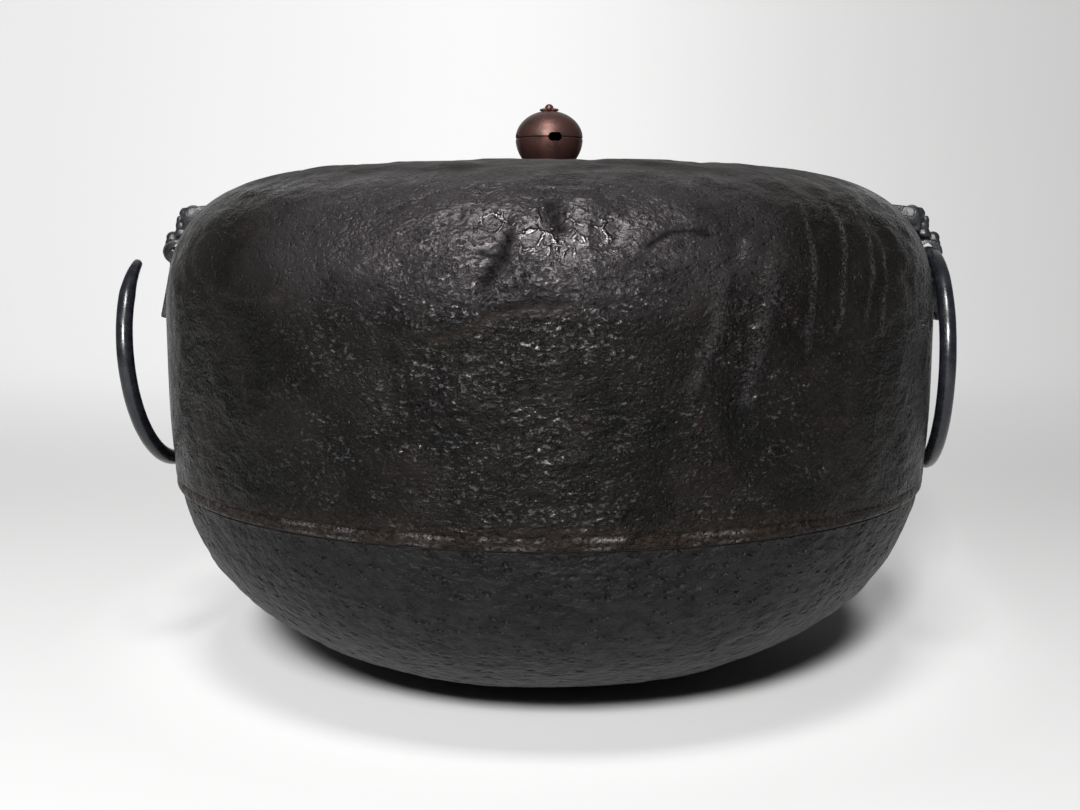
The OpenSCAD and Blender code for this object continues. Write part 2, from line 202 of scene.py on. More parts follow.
class Finish:
    """The node tree of one material, or of the world."""

    def __init__(self, name, world=False):
        self.material = (bpy.data.worlds if world else bpy.data.materials).new(name)
        self.material.use_nodes = True
        self.tree = self.material.node_tree
        self.tree.nodes.clear()

    def node(self, kind, output, sockets=None, **settings):
        """Adds a node, sets its settings and then its sockets, and returns one of its outputs."""
        made = self.tree.nodes.new(kind)
        for key, value in settings.items():
            setattr(made, key, value)
        for key, value in (sockets or {}).items():
            if isinstance(value, Wire):
                self.tree.links.new(value.socket, made.inputs[key])
            else:
                made.inputs[key].default_value = value
        return Wire(self, made.outputs[output])

    def seen(self, mirrored=1.0):
        """1 on what the camera and glass look at, a share of it in mirrors, 0 on what lights the scene."""
        straight = self.node("ShaderNodeLightPath", "Is Camera Ray")
        through = self.node("ShaderNodeLightPath", "Is Transmission Ray")
        return straight + through + mirrored * self.node("ShaderNodeLightPath", "Is Glossy Ray")

    def place(self, stretch=(1, 1, 1)):
        """Object coordinates in millimetres, stretched where wanted."""
        where = self.node("ShaderNodeTexCoord", "Object")
        return self.node("ShaderNodeMapping", 0, {0: where, "Scale": [1000 * s for s in stretch]})

    def axis(self, where, letter):
        """One coordinate of a place."""
        return self.node("ShaderNodeSeparateXYZ", letter, {0: where})

    def away(self, where, spot):
        """Distance from a spot in millimetres."""
        return self.node("ShaderNodeVectorMath", "Value", {0: where, 1: spot}, operation="DISTANCE")

    def clouds(self, where, size, detail=3.0, rough=0.55, swirl=0.0):
        """Noise from 0 to 1 whose features are about size millimetres."""
        return self.node("ShaderNodeTexNoise", 0, {
            "Vector": where, "Scale": 1 / size, "Detail": detail, "Roughness": rough, "Distortion": swirl})

    def cells(self, where, size, feature="F1"):
        """Distances in a scatter of points about size millimetres apart."""
        sockets = {"Vector": where, "Scale": 1 / size}
        return self.node("ShaderNodeTexVoronoi", "Distance", sockets, feature=feature)

    def warped(self, where, size, reach):
        """Coordinates that noise pulls about by up to about reach millimetres."""
        pull = self.node("ShaderNodeTexNoise", "Color", {"Vector": where, "Scale": 1 / size, "Detail": 2.0})
        pull = self.node("ShaderNodeVectorMath", 0, {0: pull, 1: (0.5, 0.5, 0.5)}, operation="SUBTRACT")
        pull = self.node("ShaderNodeVectorMath", 0, {0: pull, "Scale": reach}, operation="SCALE")
        return self.node("ShaderNodeVectorMath", 0, {0: where, 1: pull}, operation="ADD")

    def step(self, value, low, high):
        """Rises smoothly from 0 at low to 1 at high, and falls where low is above high."""
        sockets = {0: value, 1: low, 2: high}
        return self.node("ShaderNodeMapRange", 0, sockets, interpolation_type="SMOOTHSTEP")

    def blend(self, share, first, second):
        """Mixes two colours."""
        pair = [(*tone, 1) if not isinstance(tone, Wire) else tone for tone in (first, second)]
        return self.node("ShaderNodeMix", 2, {0: share, 6: pair[0], 7: pair[1]}, data_type="RGBA")

    def mask(self, name):
        """A value painted on the piece's points."""
        return self.node("ShaderNodeAttribute", "Fac", attribute_name=name)

    def bump(self, height, depth, strength=1.0):
        """Normals of a relief of that depth in millimetres."""
        sockets = {"Height": height, "Distance": depth * MM, "Strength": strength}
        return self.node("ShaderNodeBump", 0, sockets)

    def close(self, **sockets):
        """Adds the surface shader and returns the material."""
        named = {key.replace("_", " ").title().replace("Ior", "IOR"): value for key, value in sockets.items()}
        for key, value in named.items():
            if "Color" in key and not isinstance(value, Wire):
                named[key] = (*value, 1)
        surface = self.node("ShaderNodeBsdfPrincipled", 0, named)
        end = self.tree.nodes.new("ShaderNodeOutputMaterial")
        self.tree.links.new(surface.socket, end.inputs[0])
        return self.material


def soft_step(low, high, value):
    """Rises smoothly from 0 at low to 1 at high."""
    share = min(1.0, max(0.0, (value - low) / (high - low)))
    return share * share * (3 - 2 * share)


def hump(distance, width):
    """A round ridge: 1 at no distance and near 0 past about twice the width."""
    return math.exp(-(distance / width) ** 2)


class Body:
    """The kettle's outline, from the same sizes as its solids."""

    shoulder_power = 2.8
    bowl_power = 3.8

    def __init__(self, sizes):
        self.sizes = sizes
        self.lip = SHELL_HIGH.z
        self.seam = SHELL_LOW.z
        self.shoulder = self.lip - sizes.belly_height
        flat = 1 - (sizes.base_radius / sizes.body_radius) ** 2
        self.depth = sizes.belly_height / flat ** (1 / self.bowl_power)

    def wall_at(self, inset, height):
        """Radius of the wall below the belly."""
        drop = (self.sizes.belly_height - height) / (self.depth - inset)
        return (self.sizes.body_radius - inset) * math.sqrt(max(0.0, 1 - max(0.0, drop) ** self.bowl_power))

    def wall_run(self, inset, low, high, steps):
        """Points up the wall from one height to another, evenly spread along the curve's angle."""
        depth = self.depth - inset
        drops = [(self.sizes.belly_height - height) / depth for height in (low, high)]
        ends = [math.asin(drop ** (self.bowl_power / 2)) for drop in drops]
        turns = [ends[0] + (ends[1] - ends[0]) * i / steps for i in range(steps + 1)]
        return [((self.sizes.body_radius - inset) * math.cos(t),
                 self.sizes.belly_height - depth * math.sin(t) ** (2 / self.bowl_power)) for t in turns]

    def shoulder_point(self, inset, t):
        """A point of the shoulder: t runs from 0 at the belly to a quarter turn at the lip."""
        reach = self.sizes.body_radius - self.sizes.lip_radius - inset
        power = 2 / self.shoulder_power
        return (self.sizes.lip_radius + reach * max(0.0, math.cos(t)) ** power,
                self.sizes.belly_height + (self.shoulder - inset) * math.sin(t) ** power)

    def shoulder_at(self, height):
        """Radius of the shoulder above the belly."""
        rise = min(1.0, (height - self.sizes.belly_height) / self.shoulder)
        return self.shoulder_point(0, math.asin(rise ** (self.shoulder_power / 2)))[0]

    def radius_at(self, level):
        """Radius of the skin."""
        return self.wall_at(0, level) if level < self.sizes.belly_height else self.shoulder_at(level)

    def skin(self, azimuth, height):
        """Point of the skin at an azimuth in degrees from the front and a height in millimetres."""
        level = height * MM
        radius = self.radius_at(level)
        turn = math.radians(azimuth)
        return Vector((radius * math.sin(turn), -radius * math.cos(turn), level))


def even(points, spacing):
    """The same curve with its points about spacing apart."""
    spots = [Vector((radius, 0, height)) for radius, height in points]
    travelled = [0.0]
    for before, after in zip(spots, spots[1:]):
        travelled.append(travelled[-1] + (after - before).length)
    count = max(2, round(travelled[-1] / spacing))
    result = []
    place = 0
    for i in range(count + 1):
        want = travelled[-1] * i / count
        while place < len(spots) - 2 and travelled[place + 1] < want:
            place += 1
        span = travelled[place + 1] - travelled[place]
        spot = spots[place].lerp(spots[place + 1], (want - travelled[place]) / span if span else 0)
        result.append((spot.x, spot.z))
    return result


def turned(outline, steps, closed=True):
    """Spins an outline of radius and height round the upright axis."""
    shape = bmesh.new()
    corners = [shape.verts.new((radius, 0, height)) for radius, height in outline]
    followers = corners[1:] + corners[:1] if closed else corners[1:]
    edges = [shape.edges.new(pair) for pair in zip(corners, followers)]
    sectors = 8
    bmesh.ops.spin(shape, geom=corners + edges, cent=(0, 0, 0), axis=(0, 0, 1), angle=math.tau / sectors,
                   steps=steps // sectors)
    sector = shape.verts[:] + shape.edges[:] + shape.faces[:]
    bmesh.ops.spin(shape, geom=sector, cent=(0, 0, 0), axis=(0, 0, 1),
                   angle=math.tau * (sectors - 1) / sectors, steps=sectors - 1, use_duplicate=True)
    bmesh.ops.remove_doubles(shape, verts=shape.verts, dist=1e-6)
    bmesh.ops.recalc_face_normals(shape, faces=shape.faces)
    return shape


def finished(shape, name, body, nodes, materials, crease=45):
    """Makes a piece of a mesh, with its finishes, and sets it on its body for the solids it stands for."""
    mesh = bpy.data.meshes.new(name)
    shape.to_mesh(mesh)
    shape.free()
    return placed(mesh, name, body, nodes, materials, crease)


def placed(mesh, name, body, nodes, materials, crease=45):
    """Links a finished mesh as a piece of a body."""
    mesh.name = name
    mesh.shade_smooth()
    mesh.set_sharp_from_angle(angle=math.radians(crease))
    for material in materials:
        mesh.materials.append(material)
    piece = bpy.data.objects.new(name, mesh)
    bpy.context.scene.collection.objects.link(piece)
    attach(piece, body)
    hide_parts(*nodes)
    return piece


def loose(shape):
    """A plain object of a shape, to be used up."""
    mesh = bpy.data.meshes.new("loose")
    shape.to_mesh(mesh)
    shape.free()
    made = bpy.data.objects.new("loose", mesh)
    bpy.context.scene.collection.objects.link(made)
    return made


def applied(shape, voxel=None, cutters=()):
    """The mesh of a shape after a remesh to voxels of a size, or with other shapes cut away."""
    blank = loose(shape)
    tools = [loose(cutter) for cutter in cutters]
    if voxel:
        remesh = blank.modifiers.new("Remesh", "REMESH")
        remesh.mode = "VOXEL"
        remesh.voxel_size = voxel
    for tool in tools:
        away = blank.modifiers.new("Cut", "BOOLEAN")
        away.operation = "DIFFERENCE"
        away.solver = "EXACT"
        away.object = tool
    bpy.context.view_layer.update()
    result = bpy.data.meshes.new_from_object(blank.evaluated_get(bpy.context.evaluated_depsgraph_get()))
    for used in [blank, *tools]:
        data = used.data
        bpy.data.objects.remove(used)
        bpy.data.meshes.remove(data)
    return result


def pressed(shape, voxel, passes):
    """The lumps of a shape fused into one skin, which is then smoothed."""
    mesh = applied(shape, voxel)
    fused = bmesh.new()
    fused.from_mesh(mesh)
    bpy.data.meshes.remove(mesh)
    for _ in range(passes):
        bmesh.ops.smooth_vert(fused, verts=fused.verts, factor=0.5, use_axis_x=True, use_axis_y=True,
                              use_axis_z=True)
    return fused


def cylinder(shape, radius, depth, place, segments=48):
    """Adds a closed cylinder to a shape."""
    bmesh.ops.create_cone(shape, cap_ends=True, segments=segments, radius1=radius, radius2=radius,
                          depth=depth, matrix=place)


def painted(shape, *names):
    """New values on the points of a shape, for the masks of its finish."""
    return [shape.verts.layers.float.new(name) for name in names]


class Scars:
    """Marks on the old skin. A ridge or a groove is a path of azimuths in degrees and heights in
    millimetres, a width, a rise or depth in millimetres, and then for a ridge how rubbed it is, for a groove
    how dark the painted shade in it is. A ledge is a path and a width. A patch of flakes is an azimuth, a
    height and a radius."""

    RIDGES = (
        (((-26, 168.5), (-17.5, 176.3), (-13.2, 180.1), (-6.1, 181.6), (1.4, 182.1), (10, 181)),
         1.2, 0.40, 0.35),
        (((-25, 159.3), (-19.9, 155.9), (-15.2, 153.5), (-9, 152.5)), 1.5, 0.60, 0.1),
        (((-17, 136.5), (-12, 138.8), (-6.4, 142.1), (3.2, 145), (10, 150.6), (17.3, 158.3)), 1.7, 0.70, 0.1),
        (((26.5, 162), (23.2, 155), (21.6, 147), (21.2, 136), (18.5, 123)), 2.4, 1.7, 0.3),
        (((29.5, 158), (28.6, 147), (27.2, 134), (25.6, 118)), 2.4, 1.5, 0.25),
        (((37.9, 176), (36.2, 166), (35.7, 158), (34.6, 146), (34, 132)), 0.9, 0.6, 0.45),
        (((44.3, 176), (43.5, 167.5), (41.7, 158), (40.4, 148), (39.6, 138)), 0.9, 0.8, 0.7),
        (((49.4, 176), (48.3, 164.4), (46.9, 153.5), (44.9, 140)), 0.9, 0.6, 0.6),
        (((50.5, 174), (51.1, 159.6), (49.2, 145.5), (48.2, 136)), 0.9, 0.6, 0.6),
        (((-1.8, 180.6), (2.5, 180.3), (6.8, 179.6)), 0.9, 0.25, 1.0),
        (((-48, 150), (-40, 146), (-33, 147)), 1.3, 0.45, 0.1),
        (((-8, 118), (2, 112), (13, 114)), 1.8, 0.45, 0.0),
        (((120, 168), (133, 160), (140, 148), (141, 130)), 2.4, 1.0, 0.2),
        (((150, 176), (163, 171), (178, 172), (190, 168)), 1.4, 0.55, 0.2),
        (((196, 150), (205, 144), (217, 146), (226, 153)), 1.6, 0.70, 0.1),
        (((238, 172), (240, 158), (239, 140)), 1.1, 0.45, 0.5),
        (((247, 174), (250, 158), (250, 138)), 1.0, 0.40, 0.4),
    )
    # the last value of a groove is how dark the shade painted into it is
    GROOVES = (
        (((25.5, 160), (25, 147), (23.5, 116)), 11, 1.5, 0),
        (((43.5, 174), (42.5, 158), (42, 132)), 12, 0.8, 0),
        (((240, 170), (243, 156), (244, 136)), 12, 0.8, 0),
        (((131, 160), (138, 146), (140, 130)), 9, 1.0, 0),
        (((-3.0, 166.5), (-4.0, 159.5), (-5.8, 153)), 1.9, 1.6, 1),
        (((-4.0, 160), (-6.4, 161.5)), 1.4, 0.8, 0.8),
        (((1.9, 176), (2.4, 172), (3.0, 168.5)), 2.3, 1.8, 0.9),
        (((13.3, 163.2), (15.9, 166.9), (18, 167.6), (21.5, 166.6)), 1.2, 0.8, 0.9),
        (((24.8, 158), (25.2, 147), (24.6, 118)), 3.2, 1.7, 0.35),
        (((-4, 141.5), (3, 143), (9, 147)), 1.9, 0.6, 0),
        (((168, 158), (173, 150), (172, 141)), 1.9, 1.0, 0.8),
        (((209, 166), (214, 160), (221, 161)), 1.2, 0.6, 0.8),
    )
    LEDGES = (
        (((-11.5, 136.9), (-6.8, 139.3), (-6.1, 142.1), (-1.7, 145.0), (3.8, 145.4)), 1.7),
        (((160, 140), (168, 137), (176, 139)), 1.7),
    )
    PATCHES = ((2.3, 168.0, 11.5), (8.6, 166.5, 7.5), (-4.5, 170.5, 6), (182, 163, 10), (176, 166, 7))

    def __init__(self, body):
        def laid(marks):
            return [self.mark([body.skin(*spot) for spot in path], width * MM, rise * MM, wear_and_painted_light)
                    for path, width, rise, wear_and_painted_light in marks]

        self.ridges = laid(self.RIDGES)
        self.grooves = laid(self.GROOVES)
        self.ledges = [([body.skin(*spot) for spot in path], width * MM) for path, width in self.LEDGES]
        self.patches = [(body.skin(azimuth, height), radius * MM) for azimuth, height, radius in self.PATCHES]

    @staticmethod
    def mark(path, width, rise, wear_and_painted_light):
        """A path with the ball that holds all it can reach."""
        middle = sum(path, Vector()) / len(path)
        reach = max((spot - middle).length for spot in path) + 3 * width
        return path, width, rise, wear_and_painted_light, middle, reach

    @staticmethod
    def nearest(point, path):
        """Distance from a path."""
        gaps = []
        for start, end in zip(path, path[1:]):
            foot, share = intersect_point_line(point, start, end)
            foot = start if share < 0 else end if share > 1 else foot
            gaps.append((point - foot).length)
        return min(gaps)

    def browned(self, point):
        """How near a point is to a smooth brown ledge, from 0 to 1."""
        return max(hump(self.nearest(point, path), width) for path, width in self.ledges)

    def at(self, point):
        """Rise of the marks at a point of the skin, how worn and flaked it is there, and how dark the painted
        shade of its grooves is.
        """
        rise = 0.0
        worn = 0.0
        flaked = 0.0
        cut = 0.0
        ragged = 0.55 + 0.45 * noise.noise(point * 160)
        for path, width, height, rubbed, middle, reach in self.ridges:
            if (point - middle).length < reach:
                share = hump(self.nearest(point, path), width)
                rise += height * share * ragged
                worn = max(worn, rubbed * share * ragged)
        # grooves sink the skin and darken it with painted shade
        for path, width, depth, dark, middle, reach in self.grooves:
            if (point - middle).length < reach:
                share = hump(self.nearest(point, path), width)
                rise -= depth * share
                cut = max(cut, dark * share)
        for middle, radius in self.patches:
            gap = (point - middle).length / radius + 0.35 * noise.noise(point * 150)
            flaked = max(flaked, 1 - soft_step(0.55, 1.1, gap))
        return rise, worn, flaked, cut


def relief_clouds(point, size):
    """Smooth noise from -1 to 1 with features of about size millimetres."""
    return noise.noise(point / (size * MM))


class KETTLE_OT_upper_shell(bpy.types.Operator):
    """Build the old upper body with its scarred skin, mouth ledge and broken flange stub"""

    bl_idname = "kettle.upper_shell"
    bl_label = "Upper shell"
    bl_options = {"REGISTER", "UNDO"}

    turns = 520
    skin_spacing = 1.32 * MM
    inside_spacing = 6 * MM
    collar = 2.5 * MM
    deepest = -2.6 * MM
    proudest = 0.3 * MM
    skin_depth = 0.4 * MM
    inside_radius = 144 * MM
    # levels between which the shoulder turns smooth towards the lip
    smooth_from = 181 * MM
    smooth_to = 187 * MM
    # shares of the stub's height and reach, up its broken face
    STUB = ((0.05, 0.45), (0.18, 0.85), (0.35, 1.0), (0.55, 1.0), (0.72, 0.92), (0.86, 0.6))

    def outline(self, sizes, body):
        """The section from the seam up the outside, over the lip and down the inside."""
        seam = body.seam
        skin_radius = body.wall_at(0, seam)
        ledge = LID_LOW.z
        mouth = sizes.mouth_radius
        throat = mouth - sizes.ledge_width
        under = ledge - sizes.ledge_thickness
        stub = [(skin_radius - sizes.wall, seam), (skin_radius - 0.0004, seam)]
        stub += [(skin_radius + sizes.stub_reach * reach, seam + sizes.stub_height * share)
                 for share, reach in self.STUB]
        wall = body.wall_run(0, seam + sizes.stub_height, sizes.belly_height, 200)
        shoulder = [body.shoulder_point(0, math.pi / 2 * i / 400) for i in range(401)]
        outside = even(wall, self.skin_spacing) + even(shoulder, self.skin_spacing)[1:]
        lip = [(mouth + 0.0016, body.lip), (mouth + 0.0006, body.lip - 0.00015),
               (mouth + 0.0001, body.lip - 0.0007), (mouth, body.lip - 0.0016), (mouth, ledge + 0.0004),
               (mouth - 0.0004, ledge), (throat + 0.0007, ledge), (throat, ledge - 0.0007),
               (throat, under + 0.0008), (throat + 0.0008, under), (sizes.lip_radius + self.collar, under)]
        reach = sizes.body_radius - sizes.lip_radius - sizes.wall
        collar_turn = math.acos((self.collar / reach) ** (body.shoulder_power / 2))
        vault = [body.shoulder_point(sizes.wall, collar_turn * i / 60) for i in range(61)]
        cheek = body.wall_run(sizes.wall, seam, sizes.belly_height, 60)
        inside = even(vault[::-1], self.inside_spacing) + even(cheek[::-1], self.inside_spacing)[1:-1]
        return stub + outside + lip + inside

    def relief(self, point, radius, rise, flaked, sizes):
        """How far the skin stands out at a point."""
        swell = 0.55 * relief_clouds(point, 62) + 0.50 * relief_clouds(point + Vector((0.3, 0, 0)), 24)
        flat = Vector((point.x, point.y, point.z * 1.6))
        lumps = 0.62 * relief_clouds(flat, 12) + 0.34 * relief_clouds(flat, 6)
        cloudy = swell + lumps * (1 - 0.6 * flaked) - 0.35 * flaked
        total = (cloudy * MM + rise) * sizes.relief - 0.35 * MM
        by_the_lugs = soft_step(0.80, 0.92, abs(point.x) / radius)
        return min(self.proudest - 0.8 * MM * by_the_lugs, max(self.deepest, total))

    def execute(self, context):
        sizes = context.scene.kettle_sizes
        colours = context.scene.kettle_colours
        body = Body(sizes)
        scars = Scars(body)
        shape = turned(self.outline(sizes, body), self.turns)
        wear_and_painted_light, rust, flake, smooth, cut = painted(shape, "wear_and_painted_light", "rust", "flake", "smooth", "cut")
        stub_top = body.seam + sizes.stub_height
        for vert in shape.verts:
            point = vert.co.copy()
            radius = math.hypot(point.x, point.y)
            level = point.z
            skin = body.radius_at(min(level, body.lip))
            above = level > stub_top - 1e-5
            if above and radius > skin - self.skin_depth and radius > sizes.lip_radius + 0.5 * MM:
                rise, worn, flaked, deep = scars.at(point)
                calm = soft_step(0, 0.006, level - stub_top) * soft_step(0, 0.012, radius - sizes.lip_radius)
                vert.co += vert.normal * self.relief(point, radius, rise, flaked, sizes) * calm
                vert.co.y = max(CAD_BOX[0][1], min(CAD_BOX[1][1], vert.co.y))
                near = soft_step(0.005, 0.0, level - stub_top)
                brown = scars.browned(point)
                vert[wear_and_painted_light] = worn
                vert[flake] = flaked
                # painted shade: the cut mask darkens the narrow grooves
                vert[cut] = soft_step(0.15, 0.8, deep)
                vert[smooth] = max(soft_step(self.smooth_from, self.smooth_to, level), 0.6 * brown)
                vert[rust] = max(0.6 * near + 0.2 * max(0.0, relief_clouds(point, 38)), 0.55 * brown)
            elif not above and radius > skin - 0.0006:
                broken = relief_clouds(point, 11) + 0.6 * relief_clouds(point, 3.4)
                vert.co.xy *= 1 + (0.35 * broken - 0.25) * MM / radius
                if level < body.seam + 0.3 * sizes.stub_height:
                    vert.co.z += max(0.0, 0.45 * broken + 0.1) * MM
                share = (level - body.seam) / sizes.stub_height
                lips = max(hump(share - 0.80, 0.15), hump(share - 0.10, 0.15))
                # the stub's bright rubbed spots gather at the front: partly rubbed bare metal, partly painted
                # glints where the front lamp catches the stub
                front = 0.3 + 0.7 * soft_step(0.75, 0.95, -point.y / radius)
                patchy = relief_clouds(point, 13) + 0.9 * relief_clouds(point, 2.1)
                vert[wear_and_painted_light] = lips * front * soft_step(-0.1, 0.4, patchy)
                vert[rust] = 0.9 - 0.5 * soft_step(0.35, 0.75, point.x / radius)
            else:
                vert[rust] = 1.0
        for face in shape.faces:
            middle = face.calc_center_median()
            radius = math.hypot(middle.x, middle.y)
            inner = face.normal.x * middle.x + face.normal.y * middle.y < 0 or radius < sizes.mouth_radius
            skin = body.wall_at(0, middle.z) if middle.z < sizes.belly_height else 0
            under_skin = radius < max(skin, self.inside_radius) - 1 * MM
            face.material_index = 1 if inner and under_skin and middle.z < LID_LOW.z - 0.1 * MM else 0
        finished(shape, "old_upper_shell", "kettle", ["upper_shell"],
                 [old_iron(colours), inside_iron(colours)], 60)
        return {"FINISHED"}


class KETTLE_OT_bottom_bowl(bpy.types.Operator):
    """Build the renewed bowl with its dimpled skin and the rim that laps into the old body"""

    bl_idname = "kettle.bottom_bowl"
    bl_label = "Bottom bowl"
    bl_options = {"REGISTER", "UNDO"}

    turns = 520
    skin_spacing = 1.6 * MM
    skin_depth = 0.4 * MM
    # azimuth and height of the rusty speck
    SPECK = (42.8, 53)

    def execute(self, context):
        sizes = context.scene.kettle_sizes
        body = Body(sizes)
        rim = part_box("bottom_bowl")[1].z
        shoulder = body.seam - 0.0005
        lap = sizes.wall + 0.0005
        outer = even(body.wall_run(sizes.bowl_step, 0.0, shoulder, 300), self.skin_spacing)
        flat = even([(0.0, 0.0), outer[0]], 2 * self.skin_spacing)
        step = [(body.wall_at(sizes.bowl_step, shoulder) - 0.0006, shoulder + 0.0001)]
        lapped = even(body.wall_run(lap, shoulder, rim, 30), 3 * MM)
        inside = even(body.wall_run(lap + 0.003, body.seam - sizes.lap / 2, rim, 30)[::-1], 4 * MM)
        floor = body.wall_run(sizes.bowl_step + sizes.wall, sizes.floor, body.seam - sizes.lap, 80)
        floor = even(floor[::-1], 5 * MM)
        outline = flat[:-1] + outer + step + lapped + inside + floor + [(0.0, sizes.floor)]
        shape = turned(outline, self.turns, closed=False)
        wear_and_painted_light, rust = painted(shape, "wear_and_painted_light", "rust")
        speck = body.skin(*self.SPECK)
        for vert in shape.verts:
            point = vert.co.copy()
            radius = math.hypot(point.x, point.y)
            skin = body.wall_at(sizes.bowl_step, point.z)
            if radius > skin - self.skin_depth and point.z < body.seam:
                tall = Vector((point.x, point.y, point.z * 1.35))
                swell = 0.45 * relief_clouds(point, 48) + 0.32 * relief_clouds(tall, 15)
                dents = 0.30 * relief_clouds(tall, 6.5) + 0.14 * relief_clouds(point, 3.6)
                pit = noise.voronoi(tall / (9 * MM))[0][0]
                dents -= 0.35 * hump(pit, 0.22)
                stand = soft_step(0.0, 0.004, point.z) * soft_step(0, 0.003, body.seam - point.z)
                sink = min(0.2 * MM, (swell + dents - 0.3) * MM * sizes.relief) * stand
                vert.co += vert.normal * sink
                # near the base this mask also carries painted light: the finish paints the base pale grey, as
                # dust and as the floor's reflected light
                vert[wear_and_painted_light] = soft_step(0.024, 0.004, point.z)
                stained = 0.35 * soft_step(0.003, 0.0, body.seam - point.z)
                vert[rust] = max(stained, hump((point - speck).length, 0.0022))
            elif point.z > 1e-6:
                vert[rust] = 1.0
        for face in shape.faces:
            middle = face.calc_center_median()
            radius = math.hypot(middle.x, middle.y)
            hollow = radius < body.wall_at(sizes.bowl_step, middle.z) - 0.002
            face.material_index = 1 if hollow and middle.z > sizes.floor / 2 else 0
        colours = context.scene.kettle_colours
        finished(shape, "renewed_bowl", "kettle", ["bottom_bowl"],
                 [bowl_iron(colours), inside_iron(colours)], 60)
        return {"FINISHED"}


class KETTLE_OT_hidden_pieces(bpy.types.Operator):
    """Finish the cement of the lap joint and the singing irons on the floor inside"""

    bl_idname = "kettle.hidden_pieces"
    bl_label = "Cement and singing irons"
    bl_options = {"REGISTER", "UNDO"}

    def execute(self, context):
        colours = context.scene.kettle_colours
        dressed = {"seam_cement": lacquer_cement(colours), "singing_irons": inside_iron(colours)}
        for node, material in dressed.items():
            mesh = frame["nodes"][node].data
            mesh.materials.clear()
            mesh.materials.append(material)
        return {"FINISHED"}


class KETTLE_OT_lugs(bpy.types.Operator):
    """Build the two mask lugs with the eyes that the rings hang in"""

    bl_idname = "kettle.lugs"
    bl_label = "Lugs"
    bl_options = {"REGISTER", "UNDO"}

    # middle, half sizes and tilts of the clay that a mask is pressed together from, in millimetres and
    # degrees; a lump off the middle has a twin on the other side
    BLOCKS = (
        ((-13.2, 0, 13.2), (8.6, 8.8, 4.6), (0, 6, 0)),
        ((-6.4, 0, 2.5), (5.2, 5.0, 8.5), (0, 0, 0)),
        ((-4.4, 0, -16.8), (5.0, 6.6, 9.4), (0, -6, 0)),
        ((3.0, 0, -17.2), (1.8, 4.8, 9.0), (0, -12.5, 0)),
    )
    LUMPS = (
        ((-6.6, 0, 13.4), (3.4, 9.0, 4.8), (0, 0, 0)),
        ((-4.9, 4.9, 14.0), (2.2, 5.0, 2.0), (16, 0, 0)),
        ((-9.0, 8.6, 13.6), (4.0, 1.5, 3.8), (0, 0, 12)),
        ((-3.2, 4.7, 10.0), (2.6, 2.7, 2.5), (0, 0, 0)),
        ((-3.0, 4.4, 7.0), (3.0, 3.2, 2.0), (0, 0, 0)),
        ((-2.0, 0, 9.4), (2.0, 1.8, 5.0), (0, 18, 0)),
        ((1.9, 0, 5.3), (2.7, 3.2, 2.7), (0, 0, 0)),
        ((2.6, 2.4, 3.4), (1.8, 1.9, 1.8), (0, 0, 0)),
        ((1.2, 0, -4.9), (2.0, 5.2, 1.5), (0, 0, 0)),
        ((1.6, 3.4, -6.6), (0.8, 0.9, 1.9), (0, 0, 0)),
        ((0.6, 0, -9.8), (2.0, 6.6, 1.7), (0, 0, 0)),
        ((0.4, 0, -16.4), (3.6, 8.4, 8.0), (0, -11, 0)),
        ((2.4, 0, -17.6), (2.3, 3.6, 8.6), (0, -12, 0)),
        ((3.6, 3.0, -20.8), (1.9, 1.8, 5.4), (-6, -13, 0)),
        ((4.4, 0, -22.6), (1.8, 1.7, 4.2), (0, -13, 0)),
    )
    grain = 0.42 * MM
    tube_radius = 4.65 * MM
    tube_length = 11 * MM
    PUPIL = (-0.6, 4.9, 10.0)

    @staticmethod
    def at(middle, half, tilt):
        spin = Euler([math.radians(turn) for turn in tilt]).to_matrix().to_4x4()
        return Matrix.Translation(Vector(middle) * MM) @ spin @ Matrix.Diagonal((*(Vector(half) * MM), 1))

    def mask(self, sizes):
        shape = bmesh.new()
        for block in self.BLOCKS:
            bmesh.ops.create_cube(shape, size=2, matrix=self.at(*block))
        for (x, y, z), half, (roll, pitch, yaw) in self.LUMPS:
            for side in (1, -1) if y else (1,):
                place = self.at((x, side * y, z), half, (side * roll, pitch, side * yaw))
                bmesh.ops.create_uvsphere(shape, u_segments=24, v_segments=16, radius=1, matrix=place)
        across = Matrix.Rotation(math.pi / 2, 4, "X")
        cylinder(shape, self.tube_radius, self.tube_length, across)
        shape = pressed(shape, self.grain, 5)
        for vert in shape.verts:
            for side in (-1, 1):
                pupil = Vector(self.PUPIL) * Vector((1, side, 1)) * MM
                vert.co.x -= 0.7 * MM * hump((vert.co - pupil).length, 0.8 * MM)
        knife = bmesh.new()
        cylinder(knife, sizes.eye_radius, 0.05, across, 64)
        return applied(shape, cutters=[knife])

    def execute(self, context):
        sizes = context.scene.kettle_sizes
        mask = self.mask(sizes)
        material = lug_iron(context.scene.kettle_colours)
        for side, turn in (("right", 0), ("left", math.pi)):
            mesh = mask.copy()
            mesh.transform(Matrix.Rotation(turn, 4, "Z") @ Matrix.Translation(EYE))
            placed(mesh, side + "_mask_lug", "kettle", [side + "_lug"], [material], 50)
        bpy.data.meshes.remove(mask)
        return {"FINISHED"}


